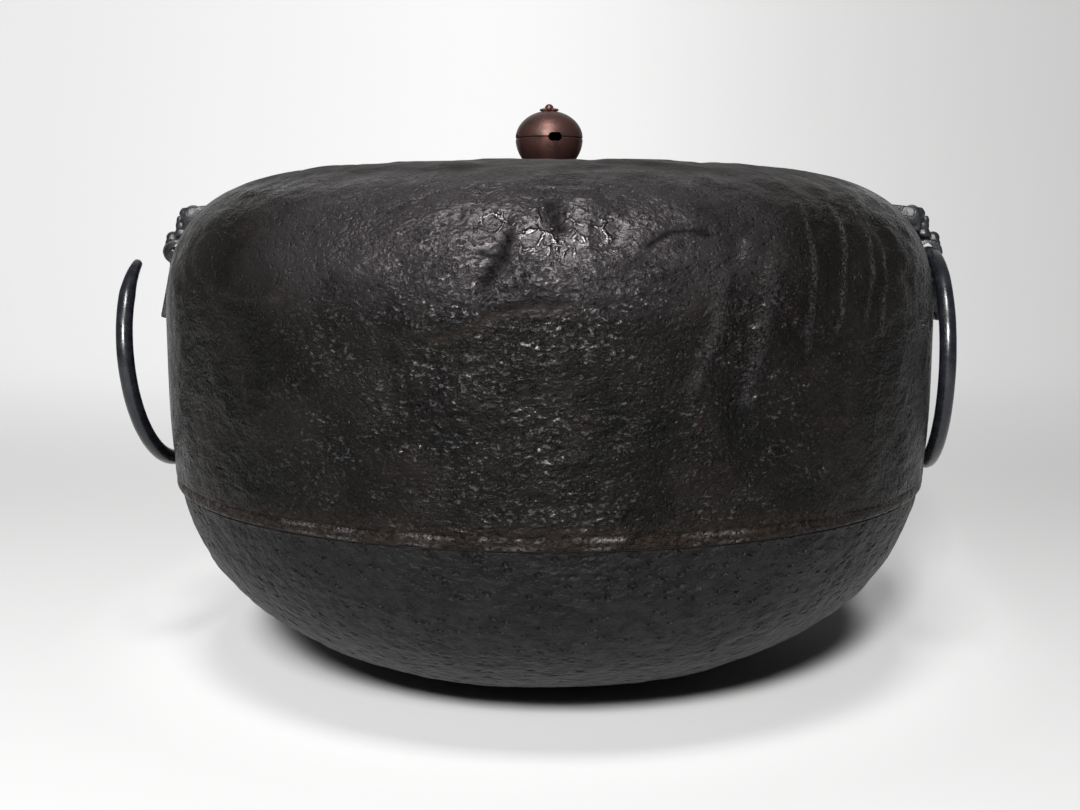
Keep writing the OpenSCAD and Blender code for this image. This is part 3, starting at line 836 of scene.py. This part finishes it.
class KETTLE_OT_rings(bpy.types.Operator):
    """Build the two open rings, each one turn of a slow coil tapered to both ends"""

    bl_idname = "kettle.rings"
    bl_label = "Rings"
    bl_options = {"REGISTER", "UNDO"}

    # degrees round the ring from the eye: where the bar starts and ends, and how long each end tapers
    start = -12.0
    end = 334.0
    taper = 27.0
    sag = 0.1 * MM
    TILTS = ((-2.7, "Z"), (2.6, "Y"), (2, "X"))

    def bar(self, sizes):
        """A round bar bent into one turn, about the eye."""
        steps = 220
        sweep = math.radians(self.end - self.start)
        reach = sizes.ring_radius
        opening = math.radians(self.start)
        rise = sizes.ring_spread / 360
        shape = bmesh.new()
        across = Matrix.Rotation(-math.pi / 2, 4, "X")
        bmesh.ops.create_circle(shape, segments=28, radius=sizes.bar_radius, matrix=across)
        bmesh.ops.rotate(shape, verts=shape.verts, cent=(0, 0, -reach),
                         matrix=Matrix.Rotation(opening, 3, "X"))
        bmesh.ops.translate(shape, verts=shape.verts, vec=(rise * self.start, 0, 0))
        bmesh.ops.spin(shape, geom=shape.verts[:] + shape.edges[:], cent=(0, 0, -reach), axis=(1, 0, 0),
                       angle=sweep, steps=steps, dvec=(rise * (self.end - self.start) / steps, 0, 0))
        bmesh.ops.holes_fill(shape, edges=[edge for edge in shape.edges if edge.is_boundary], sides=0)
        bmesh.ops.recalc_face_normals(shape, faces=shape.faces)
        for vert in shape.verts:
            turn = math.degrees(math.atan2(-vert.co.y, vert.co.z + reach))
            turn += 360 if turn < self.start - 4 else 0
            middle = Vector((rise * turn, -reach * math.sin(math.radians(turn)),
                             -reach * (1 - math.cos(math.radians(turn)))))
            ends = min((turn - self.start) / self.taper, (self.end - turn) / self.taper, 1)
            thick = sizes.tip_radius + (sizes.bar_radius - sizes.tip_radius) * max(0.0, ends)
            dents = 0.035 * (1 + relief_clouds(vert.co, 9)) + 0.02 * (1 + relief_clouds(vert.co, 4))
            hammered = 1 - dents / 2
            vert.co = middle + (vert.co - middle) * (thick / sizes.bar_radius) * hammered
        caps = [face for face in shape.faces if len(face.verts) > 4]
        rims = list({edge for face in caps for edge in face.edges})
        bmesh.ops.bevel(shape, geom=rims, offset=0.8 * MM, segments=5, profile=0.5, affect="EDGES",
                        material=-1)
        return shape

    def execute(self, context):
        sizes = context.scene.kettle_sizes
        material = ring_iron(context.scene.kettle_colours)
        hang = Matrix.Translation(EYE - Vector((0, 0, self.sag)))
        for degrees, axis in self.TILTS:
            hang = hang @ Matrix.Rotation(math.radians(degrees), 4, axis)
        for side, turn in (("right", 0), ("left", math.pi)):
            shape = self.bar(sizes)
            bmesh.ops.transform(shape, matrix=Matrix.Rotation(turn, 4, "Z") @ hang, verts=shape.verts)
            ring = side + "_ring"
            finished(shape, side + "_open_ring", ring, [ring], [material], 60)
        return {"FINISHED"}


class KETTLE_OT_lid(bpy.types.Operator):
    """Build the domed lid with its rolled rim and the hollow under it"""

    bl_idname = "kettle.lid"
    bl_label = "Lid"
    bl_options = {"REGISTER", "UNDO"}

    def execute(self, context):
        sizes = context.scene.kettle_sizes
        top = LID_HIGH.z
        bottom = LID_LOW.z
        rim = LID_HIGH.x
        thick = 0.0026
        rise = top - bottom - thick
        boss = WASHER_HIGH.x + 0.0005
        hole = 0.0015
        seat = sizes.mouth_radius - sizes.ledge_width - 0.0015

        def dome(radius):
            return top - rise * (max(0.0, radius - boss) / (rim - boss)) ** 2

        over = [(radius * MM, dome(radius * MM)) for radius in range(9, 63)]
        edge = dome(rim)
        roll = [(rim - 0.0028, edge + 0.00012), (rim - 0.0024, edge + 0.00035),
                (rim - 0.0016, edge + 0.00035), (rim - 0.0008, edge + 0.0001),
                (rim - 0.0002, edge - 0.0004), (rim, edge - 0.0009), (rim, bottom + 0.0004),
                (rim - 0.0004, bottom), (seat + 0.0004, bottom), (seat, bottom + 0.0003)]
        under = [(radius * MM, dome(radius * MM) - thick) for radius in range(60, 8, -2)]
        outline = [(hole, top - thick), (hole, top), (boss, top)] + over + roll + under
        shape = turned(outline, 256)
        for vert in shape.verts:
            radius = math.hypot(vert.co.x, vert.co.y)
            if 0.012 < radius < rim - 0.0035:
                vert.co.z -= 0.09 * MM * (1 + relief_clouds(vert.co, 13))
        material = lid_bronze(context.scene.kettle_colours)
        finished(shape, "bronze_lid", "lid", ["lid_plate"], [material], 50)
        return {"FINISHED"}


class KETTLE_OT_knob(bpy.types.Operator):
    """Build the pierced ball knob, its washers and the rivet that holds them on the lid"""

    bl_idname = "kettle.knob"
    bl_label = "Knob"
    bl_options = {"REGISTER", "UNDO"}

    wall = 1.2 * MM
    hole = 1.5 * MM
    groove = 0.4 * MM
    slot_size = Vector((5.3, 30, 3.3)) * MM
    slot_turn = 12

    def knives(self, sizes, equator):
        """Rounded slots that pierce the ball from its middle outwards."""
        cutters = []
        for place in range(sizes.slots):
            knife = bmesh.new()
            bmesh.ops.create_cube(knife, size=1)
            bmesh.ops.scale(knife, vec=self.slot_size, verts=knife.verts)
            bmesh.ops.translate(knife, vec=(0, -self.slot_size.y / 2 - 0.004, 0), verts=knife.verts)
            along = [e for e in knife.edges if abs((e.verts[0].co - e.verts[1].co).y) > 0.01]
            bmesh.ops.bevel(knife, geom=along, offset=self.slot_size.z * 0.49, segments=8, profile=0.5,
                            affect="EDGES", material=-1)
            turn = math.radians(self.slot_turn + 360 * place / sizes.slots)
            place_at = Matrix.Translation((0, 0, equator)) @ Matrix.Rotation(turn, 4, "Z")
            bmesh.ops.transform(knife, matrix=place_at, verts=knife.verts)
            cutters.append(knife)
        return cutters

    @staticmethod
    def arc(radius, rise, middle, first, last, steps=28):
        turns = [first + (last - first) * i / steps for i in range(steps + 1)]
        return [(radius * math.cos(t), middle + rise * math.sin(t)) for t in turns]

    def halves(self, sizes):
        """The lower and upper half shells."""
        equator = BALL_HIGH.z
        ball = BALL_HIGH.x
        bore = ball - self.wall
        low = BALL_LOW.z
        foot = -math.asin((equator - low) / ball)
        inner_floor = math.asin((low + self.wall - equator) / bore)
        lower = [(self.hole, low)] + self.arc(ball, ball, equator, foot, -math.asin(self.groove / ball))
        lower += [(ball - 0.6 * self.groove, equator - 0.3 * self.groove), (ball - self.groove, equator)]
        lower += self.arc(bore, bore, equator, 0, inner_floor, 16) + [(self.hole, low + self.wall)]
        flower_seat = FLOWER_LOW.z
        rise = 10.6 * MM
        seat = ball * math.sqrt(max(0.0, 1 - ((flower_seat - equator) / rise) ** 2))
        roof = math.acos(seat / bore)
        upper = [(ball - self.groove, equator), (ball - 0.6 * self.groove, equator + 0.3 * self.groove)]
        upper += self.arc(ball, rise, equator, math.asin(self.groove / rise), math.acos(seat / ball))
        upper += [(self.hole, flower_seat), (self.hole, equator + (rise - self.wall) * math.sin(roof))]
        upper += self.arc(bore, rise - self.wall, equator, roof, 0, 16)
        return (("knob_lower_half", "knob_lower_shell", lower),
                ("knob_upper_half", "knob_upper_shell", upper))

    def washer(self, low, high, softness):
        """A turned washer with a rounded upper edge."""
        edge = [(high.x, low.z), (high.x, high.z - softness)]
        edge += self.arc(softness, softness, high.z - softness, 0, math.pi / 2, 5)[1:]
        edge = [(r + high.x - softness if i > 1 else r, z) for i, (r, z) in enumerate(edge)]
        return turned([(self.hole, low.z)] + edge + [(self.hole, high.z)], 72)

    def flower(self, sizes):
        """A washer of round petals pressed together."""
        radius = FLOWER_HIGH.x
        height = FLOWER_HIGH.z - FLOWER_LOW.z
        petal = 0.95 * MM
        shape = bmesh.new()
        middle = Matrix.Translation((0, 0, height * 0.45)) @ Matrix.Diagonal(
            (2.9 * MM, 2.9 * MM, height * 0.9, 1))
        cylinder(shape, 1, 1, middle)
        for place in range(sizes.petals):
            turn = Matrix.Rotation(math.tau * place / sizes.petals, 4, "Z")
            leaf = Matrix.Translation((radius - 1.45 * MM, 0, height * 0.5)) @ Matrix.Diagonal(
                (1.45 * MM, petal, height * 0.56, 1))
            bmesh.ops.create_uvsphere(shape, u_segments=24, v_segments=16, radius=1, matrix=turn @ leaf)
        shape = pressed(shape, 0.07 * MM, 1)
        for vert in shape.verts:
            vert.co.z = min(height, max(0.0, vert.co.z)) + FLOWER_LOW.z
        knife = bmesh.new()
        cylinder(knife, self.hole, 0.02, Matrix.Translation((0, 0, FLOWER_LOW.z)))
        return applied(shape, cutters=[knife])

    def rivet(self):
        """The long rivet: a clenched end, the shank and a round head."""
        low = RIVET_LOW.z
        clench = RIVET_HIGH.x
        under = ROVE_LOW.z
        head = FLOWER_HIGH.z
        shank = 1.4 * MM
        outline = [(0.0, low)] + [(clench - 0.5 * MM, low), (clench - 0.12 * MM, low + 0.25 * MM),
                                  (clench, low + 0.6 * MM), (clench, under), (shank, under), (shank, head)]
        outline += self.arc(1.72 * MM, RIVET_HIGH.z - head, head, 0, math.pi / 2, 10)[:-1]
        return turned(outline + [(0.0, RIVET_HIGH.z)], 64, closed=False)

    def execute(self, context):
        sizes = context.scene.kettle_sizes
        material = knob_bronze(context.scene.kettle_colours)
        for name, node, outline in self.halves(sizes):
            mesh = applied(turned(outline, 120), cutters=self.knives(sizes, BALL_HIGH.z))
            piece = placed(mesh, name, "lid", [node], [material], 35)
            soft = piece.modifiers.new("Soft edges", "BEVEL")
            soft.width = 0.14 * MM
            soft.segments = 2
            soft.limit_method = "ANGLE"
            soft.angle_limit = math.radians(50)
        washer = self.washer(WASHER_LOW, WASHER_HIGH, 0.35 * MM)
        finished(washer, "knob_foot_washer", "lid", ["knob_base_washer"], [material], 40)
        rove = self.washer(ROVE_LOW, ROVE_HIGH, 0.35 * MM)
        finished(rove, "lid_rove", "lid", ["rivet_rove"], [material], 40)
        placed(self.flower(sizes), "flower_washer", "lid", ["knob_top_washer"], [material], 50)
        finished(self.rivet(), "long_rivet", "lid", ["knob_rivet"], [material], 40)
        return {"FINISHED"}


def old_iron(colours):
    """Scarred brown-black skin of the old body: sandy, rubbed on its ridges, flaked in patches, rusty by the
    seam, with a painted highlight at the front of the shoulder, painted glints on the front of the wall and
    painted shade in its narrow grooves."""
    finish = Finish("old_iron_skin")
    where = finish.place()
    low = finish.place((1, 1, 1.7))
    grain = finish.clouds(where, 1.1, 3.0, 0.6)
    sand = finish.clouds(low, 1.9, 3.0, 0.6, 0.3)
    waves = finish.clouds(low, 7.0, 2.0, 0.5, 0.6)
    blotch = finish.clouds(where, 26, 4.0, 0.6, 0.4)
    drift = finish.clouds(where, 70, 2.0)
    height = finish.axis(where, "Z")
    shoulder = finish.step(height, 138, 164)
    holes = finish.step(finish.cells(finish.warped(where, 3, 3), 2.2), 0.36, 0.06)
    # this mask holds the rubbed ridges, and painted glints on the front of the seam's stub
    worn = finish.mask("wear_and_painted_light")
    rusty = finish.mask("rust")
    flaked = finish.mask("flake")
    smooth = finish.mask("smooth")
    cracks = finish.step(finish.cells(finish.warped(where, 5, 4), 5.5, "DISTANCE_TO_EDGE"), 0.13, 0.02)
    network = flaked * cracks * finish.step(waves, 0.36, 0.52)
    rubbed = worn * finish.step(finish.clouds(where, 0.8, 3.0) + 0.25 * sand, 0.54, 0.70)
    base = finish.blend(finish.step(blotch, 0.32, 0.70), colours.iron_dark, colours.iron_brown)
    base = finish.blend(0.8 * smooth, base, colours.iron_brown)
    tint = finish.step(finish.clouds(where, 14, 5.0, 0.65, 0.8), 0.54, 0.74)
    base = finish.blend(0.7 * tint * finish.step(sand, 0.30, 0.60), base, (0.0130, 0.0078, 0.0070))
    # painted highlight: a lighter, metallic mauve patch on the front of the shoulder, where the overhead
    # lamp's highlight falls
    highlight_spot = finish.step(finish.away(where, (-10, -120, 160)), 95, 45)
    painted_highlight_share = highlight_spot * shoulder * (1 - smooth) * finish.step(blotch + 0.3 * sand, 0.36, 0.76)
    # painted glints: bright metallic flecks on the sand's crests, gathered on the front of the wall where the
    # front lamp's glints fall
    painted_glint_spot = finish.step(finish.away(where, (8, -140, 105)), 118, 40)
    gathered = finish.step(finish.clouds(low, 17, 3.0), 0.44, 0.62) * painted_glint_spot
    painted_glint = (1 - smooth) * (1 - 0.75 * shoulder) * finish.step(sand, 0.56, 0.68) * gathered
    base = finish.blend(painted_highlight_share, base, colours.iron_painted_highlight)
    base = finish.blend(0.7 * painted_glint, base, colours.iron_worn_and_glint)
    base = finish.blend(rusty * finish.step(sand, 0.38, 0.66), base, colours.rust)
    base = finish.blend(rubbed + 0.45 * network, base, colours.iron_worn_and_glint)
    # painted shade: the narrow grooves are darkened almost to black
    painted_cut_shade = finish.mask("cut")
    base = finish.blend(0.85 * painted_cut_shade, base, (0.0012, 0.0011, 0.0011))
    rough = 0.265 + 0.34 * (blotch - 0.5) + 0.22 * (drift - 0.5) + 0.16 * (grain - 0.5)
    rough = rough - 0.10 * worn - 0.08 * network + 0.10 * rusty + 0.24 * smooth
    rough = rough + 0.35 * painted_cut_shade + 0.09 * painted_highlight_share
    ripple = 1 - finish.node("ShaderNodeMath", 0, {0: 2 * sand - 1}, operation="ABSOLUTE")
    calm = (1 - 0.55 * flaked) * (1 - 0.6 * smooth) * (1 - 0.25 * shoulder)
    pitted = (0.4 + 0.2 * shoulder) * holes
    relief = calm * (0.32 * grain + 0.8 * sand + 0.3 * ripple + 1.6 * waves - pitted) + 0.3 * network
    metal = 0.6 * (rubbed + network) + 0.8 * painted_glint + 0.7 * painted_highlight_share
    return finish.close(base_color=base, roughness=rough, metallic=metal, specular_ior_level=0.070,
                        normal=finish.bump(relief, 1.1))


def bowl_iron(colours):
    """Grey-blue matte skin of the renewed bowl, dimpled, greyer towards the base and on the right: pale dust
    at the base, and painted light from the floor at the base and on the right.
    """
    finish = Finish("bowl_iron_skin")
    where = finish.place()
    wide = finish.place((1, 1, 1.5))
    grain = finish.clouds(where, 0.9, 3.0, 0.6)
    dimples = finish.clouds(wide, 4.0, 3.0, 0.5, 0.3)
    blotch = finish.clouds(where, 20, 4.0, 0.6)
    pits = finish.step(finish.cells(finish.warped(wide, 6, 4), 5.0), 0.34, 0.08)
    worn = finish.mask("wear_and_painted_light")
    rusty = finish.mask("rust")
    mottle = finish.clouds(wide, 5.5, 4.0, 0.65, 0.6)
    height = finish.axis(where, "Z")
    # painted light: the bowl is painted greyer towards the base and on the right, where the bright floor
    # lights it
    low = finish.step(height, 66, 14)
    right = finish.step(finish.axis(where, "X"), 50, 120)
    base = finish.blend((0.35 + 0.65 * low + 0.5 * right) * finish.step(mottle + 0.4 * blotch, 0.56, 0.86),
                        colours.bowl_dark, colours.bowl_grey)
    # pale grey at the base: dust, and painted light from the floor
    base = finish.blend(0.8 * worn * finish.step(mottle, 0.30, 0.62), base, (0.085, 0.086, 0.090))
    base = finish.blend(0.6 * pits, base, colours.bowl_dark)
    base = finish.blend(rusty * finish.step(dimples, 0.36, 0.60), base, colours.rust)
    rough = 0.44 + 0.24 * (blotch - 0.5) + 0.10 * (grain - 0.5) + 0.06 * pits
    waves = finish.clouds(wide, 9, 2.0, 0.5, 0.8)
    relief = 0.4 * grain + 1.1 * dimples + 1.2 * waves - 0.9 * pits
    return finish.close(base_color=base, roughness=rough, specular_ior_level=0.13,
                        normal=finish.bump(relief, 1.8))


def inside_iron(colours):
    """Rusted iron inside, with a thin crust of lime."""
    finish = Finish("inside_rust")
    where = finish.place()
    crust = finish.clouds(where, 9, 5.0, 0.65, 0.5)
    grain = finish.clouds(where, 1.4, 3.0)
    base = finish.blend(finish.step(grain, 0.35, 0.7), (0.030, 0.017, 0.012), (0.105, 0.048, 0.024))
    base = finish.blend(0.8 * finish.step(crust, 0.55, 0.78), base, colours.scale_white)
    return finish.close(base_color=base, roughness=0.85 + 0.1 * (crust - 0.5),
                        normal=finish.bump(grain + 2.0 * crust, 0.5, 0.8))


def lacquer_cement(colours):
    """Brown lacquer cement with iron dust in it."""
    finish = Finish("lacquer_cement")
    where = finish.place()
    dust = finish.clouds(where, 0.8, 3.0)
    streak = finish.clouds(where, 8, 3.0)
    base = finish.blend(finish.step(dust, 0.4, 0.7), (0.020, 0.014, 0.011), colours.rust)
    return finish.close(base_color=base, roughness=0.55 + 0.2 * (streak - 0.5),
                        normal=finish.bump(dust, 0.2, 0.7))


def lug_iron(colours):
    """Blackened cast iron of the masks, blotchy, with small rust specks and a dull shine."""
    finish = Finish("lug_iron_black")
    where = finish.place()
    grain = finish.clouds(where, 0.9, 3.0, 0.6)
    blotch = finish.clouds(where, 7, 3.0)
    base = finish.blend(finish.step(blotch, 0.35, 0.7), colours.ring_black, (0.012, 0.012, 0.014))
    base = finish.blend(finish.step(grain, 0.66, 0.80) * 0.4, base, colours.rust)
    rough = 0.40 + 0.2 * (blotch - 0.5) + 0.12 * (grain - 0.5)
    return finish.close(base_color=base, roughness=rough, normal=finish.bump(grain + 0.8 * blotch, 0.3, 0.8))


def ring_iron(colours):
    """Glossy blue-black iron of the rings, lightly hammered, browned in small spots."""
    finish = Finish("ring_iron_black")
    where = finish.place()
    hammer = finish.clouds(where, 4.5, 2.0)
    grain = finish.clouds(where, 0.8, 3.0)
    base = finish.blend(finish.step(hammer, 0.4, 0.7), colours.ring_black, (0.009, 0.010, 0.013))
    base = finish.blend(0.5 * finish.step(grain, 0.62, 0.75), base, (0.018, 0.012, 0.010))
    rough = 0.27 + 0.16 * (hammer - 0.5) + 0.14 * (grain - 0.5)
    return finish.close(base_color=base, roughness=rough,
                        normal=finish.bump(hammer + 0.25 * grain, 0.16, 0.7))


def bronze(name, colours, brushed, shine):
    """Brown patinated bronze, darker in its blotches and rubbed bright in others."""
    finish = Finish(name)
    where = finish.place()
    blotch = finish.clouds(where, 6, 4.0, 0.6, 0.3)
    grain = finish.clouds(finish.place(brushed), 0.7, 3.0, 0.6)
    specks = finish.step(finish.cells(where, 1.6), 0.22, 0.05)
    base = finish.blend(finish.step(blotch, 0.30, 0.72), colours.patina, colours.bronze)
    base = finish.blend(0.7 * specks, base, colours.patina)
    rough = shine + 0.22 * (blotch - 0.5) + 0.14 * (grain - 0.5) + 0.15 * specks
    metal = 0.55 + 0.35 * finish.step(blotch, 0.35, 0.7)
    return finish.close(base_color=base, roughness=rough, metallic=metal,
                        normal=finish.bump(grain + 0.8 * blotch - 0.4 * specks, 0.10, 0.7))


def knob_bronze(colours):
    """Reddish-brown bronze of the knob."""
    return bronze("knob_bronze_brown", colours, (1, 1, 1), 0.45)


def lid_bronze(colours):
    """Darker bronze of the lid."""
    return bronze("lid_bronze_brown", colours, (0.6, 0.6, 0.6), 0.48)


def studio_paper(colours):
    """Matte pale paper of the floor and backdrop. It shows paler to the camera than its own light makes it,
    by a
    painted glow: stronger on the left, ringed with painted light round the kettle and left out in a painted
    shadow there."""
    finish = Finish("studio_paper")
    where = finish.place()
    fibre = finish.clouds(where, 5, 3.0)
    shade = finish.clouds(where, 400, 2.0)
    base = finish.blend(0.06 * shade, colours.floor, (0.37, 0.37, 0.37))
    side = finish.axis(where, "X")
    depth = finish.axis(where, "Y")
    # a painted shadow round the kettle, where the paper has no glow: a disc whose far half is drawn out
    # backwards and to the right
    painted_shadow_side = 3
    painted_shadow_depth = 62
    painted_shadow_edge = (124 ** 2, 143 ** 2)
    painted_light_rim = (220 ** 2, 150 ** 2)
    behind = finish.node("ShaderNodeMath", 0, {0: depth - painted_shadow_depth, 1: 0.0}, operation="MAXIMUM")
    across = side - painted_shadow_side - 0.12 * behind
    along = depth - painted_shadow_depth - 0.72 * behind
    reach = across * across + along * along
    # painted light: the backdrop's glow is brightest just left of the middle and dimmer to the right, the
    # floor's glow is stronger on the left, and a ring of extra glow round the painted shadow lightens the
    # floor beside it
    wall = 0.40 + 0.20 * finish.step(side, 800, -50) - 0.07 * finish.step(side, -50, -800)
    lift = 0.120 + 0.115 * finish.step(side, 400, -200) + 0.10 * finish.step(reach, *painted_light_rim)
    glow = lift * finish.step(reach, *painted_shadow_edge) + (wall - 0.23) * finish.step(depth, 200, 1000)
    return finish.close(base_color=base, roughness=0.85 + 0.1 * (fibre - 0.5), specular_ior_level=0.2,
                        emission_color=glow * finish.seen(), emission_strength=1.0)


class KETTLE_OT_stage(bpy.types.Operator):
    """Set the paper floor, the soft lights, the world and the camera"""

    bl_idname = "kettle.stage"
    bl_label = "Stage"
    bl_options = {"REGISTER", "UNDO"}

    # the paper: half its width, its front edge, the row that keeps the bend's shading off the floor, the
    # bend's radius, the back and the top
    half_width = 1.15
    front_edge = -1.7
    level_row = 0.4
    bend = 0.7
    back = 1.5
    top = 2.4
    paper_tone = 0.82
    # width, depth, place and aim of each lamp
    SOFTBOX = (0.32, 0.26, (-0.04, -0.62, 1.30), (0, 0, 0.1))
    FRONT = (0.22, 0.22, (-0.19, -1.54, 0.96), (0, 0, 0.05))

    def paper(self, colours):
        """A sheet that lies on the floor and curves up behind the kettle."""
        turns = [math.pi / 2 * i / 16 for i in range(17)]
        sheet = [(self.front_edge, 0.0), (self.level_row, 0.0)]
        sheet += [(self.back - self.bend + self.bend * math.sin(t), self.bend - self.bend * math.cos(t))
                  for t in turns]
        sheet += [(self.back, self.top)]
        shape = bmesh.new()
        corners = [shape.verts.new((-self.half_width, y, z)) for y, z in sheet]
        edges = [shape.edges.new(pair) for pair in zip(corners, corners[1:])]
        grown = bmesh.ops.extrude_edge_only(shape, edges=edges)["geom"]
        far = [part for part in grown if isinstance(part, bmesh.types.BMVert)]
        bmesh.ops.translate(shape, verts=far, vec=(2 * self.half_width, 0, 0))
        bmesh.ops.recalc_face_normals(shape, faces=shape.faces)
        if shape.faces[0].normal.z < 0:
            bmesh.ops.reverse_faces(shape, faces=shape.faces)
        mesh = bpy.data.meshes.new("studio_paper")
        shape.to_mesh(mesh)
        shape.free()
        mesh.shade_smooth()
        mesh.materials.append(studio_paper(colours))
        sheet = bpy.data.objects.new("studio_paper", mesh)
        bpy.context.scene.collection.objects.link(sheet)

    @staticmethod
    def lamp(name, watts, wide, deep, stand, aim):
        """A soft rectangular light that points at a spot."""
        light = bpy.data.lights.new(name, "AREA")
        light.shape = "RECTANGLE"
        light.size = wide
        light.size_y = deep
        light.energy = watts
        holder = bpy.data.objects.new(name, light)
        holder.location = stand
        holder.rotation_euler = (Vector(aim) - Vector(stand)).to_track_quat("-Z", "Y").to_euler()
        bpy.context.scene.collection.objects.link(holder)

    def surroundings(self, scene, strength):
        """An even grey room that shows as the paper's white behind the stage."""
        finish = Finish("studio", world=True)
        scene.world = finish.material
        room = finish.node("ShaderNodeBackground", 0, {"Color": (1, 1, 1, 1), "Strength": strength})
        tone = self.paper_tone
        paper = finish.node("ShaderNodeBackground", 0, {"Color": (tone, tone, tone, 1)})
        either = finish.node("ShaderNodeMixShader", 0, {0: finish.seen(0.1), 1: room, 2: paper})
        end = finish.tree.nodes.new("ShaderNodeOutputWorld")
        finish.tree.links.new(either.socket, end.inputs[0])

    def execute(self, context):
        scene = context.scene
        stage = scene.kettle_stage
        self.paper(scene.kettle_colours)
        self.lamp("softbox", stage.softbox, *self.SOFTBOX)
        self.lamp("front_light", stage.front, *self.FRONT)
        self.surroundings(scene, stage.world)
        lens = bpy.data.cameras.new("photo_camera")
        lens.sensor_fit = "HORIZONTAL"
        lens.sensor_width = 36
        lens.lens = stage.lens
        lens.clip_start = 0.01
        camera = bpy.data.objects.new("photo_camera", lens)
        right = Vector((math.cos(stage.turn), math.sin(stage.turn), 0))
        back = Vector((math.sin(stage.turn), -math.cos(stage.turn), 0))
        camera.location = back * stage.distance - right * stage.aside + Vector((0, 0, stage.height))
        camera.rotation_euler = (math.pi / 2 - stage.pitch, 0, stage.turn)
        scene.collection.objects.link(camera)
        scene.camera = camera
        scene.view_settings.view_transform = "Standard"
        return {"FINISHED"}


class KETTLE_PT_panel(bpy.types.Panel):
    """Lists the kettle's pieces and their settings"""

    bl_idname = "KETTLE_PT_panel"
    bl_label = "Tea kettle"
    bl_space_type = "VIEW_3D"
    bl_region_type = "UI"
    bl_category = "Kettle"

    def draw(self, context):
        layout = self.layout
        for operator in OPERATORS:
            layout.operator(operator.bl_idname)
        for group in ("kettle_sizes", "kettle_colours", "kettle_stage"):
            settings = getattr(context.scene, group)
            box = layout.box()
            for key in settings.__annotations__:
                box.prop(settings, key)


OPERATORS = (
    KETTLE_OT_stage,
    KETTLE_OT_upper_shell,
    KETTLE_OT_bottom_bowl,
    KETTLE_OT_hidden_pieces,
    KETTLE_OT_lugs,
    KETTLE_OT_rings,
    KETTLE_OT_lid,
    KETTLE_OT_knob,
)
CLASSES = (KettleSizes, KettleColours, KettleStage, *OPERATORS, KETTLE_PT_panel)


def register():
    for cls in CLASSES:
        bpy.utils.register_class(cls)
    bpy.types.Scene.kettle_sizes = PointerProperty(type=KettleSizes)
    bpy.types.Scene.kettle_colours = PointerProperty(type=KettleColours)
    bpy.types.Scene.kettle_stage = PointerProperty(type=KettleStage)


def unregister():
    del bpy.types.Scene.kettle_stage
    del bpy.types.Scene.kettle_colours
    del bpy.types.Scene.kettle_sizes
    for cls in reversed(CLASSES):
        bpy.utils.unregister_class(cls)


def main():
    register()
    bpy.ops.kettle.stage()
    bpy.ops.kettle.upper_shell()
    bpy.ops.kettle.bottom_bowl()
    bpy.ops.kettle.hidden_pieces()
    bpy.ops.kettle.lugs()
    bpy.ops.kettle.rings()
    bpy.ops.kettle.lid()
    bpy.ops.kettle.knob()


if __name__ == "__main__":
    main()
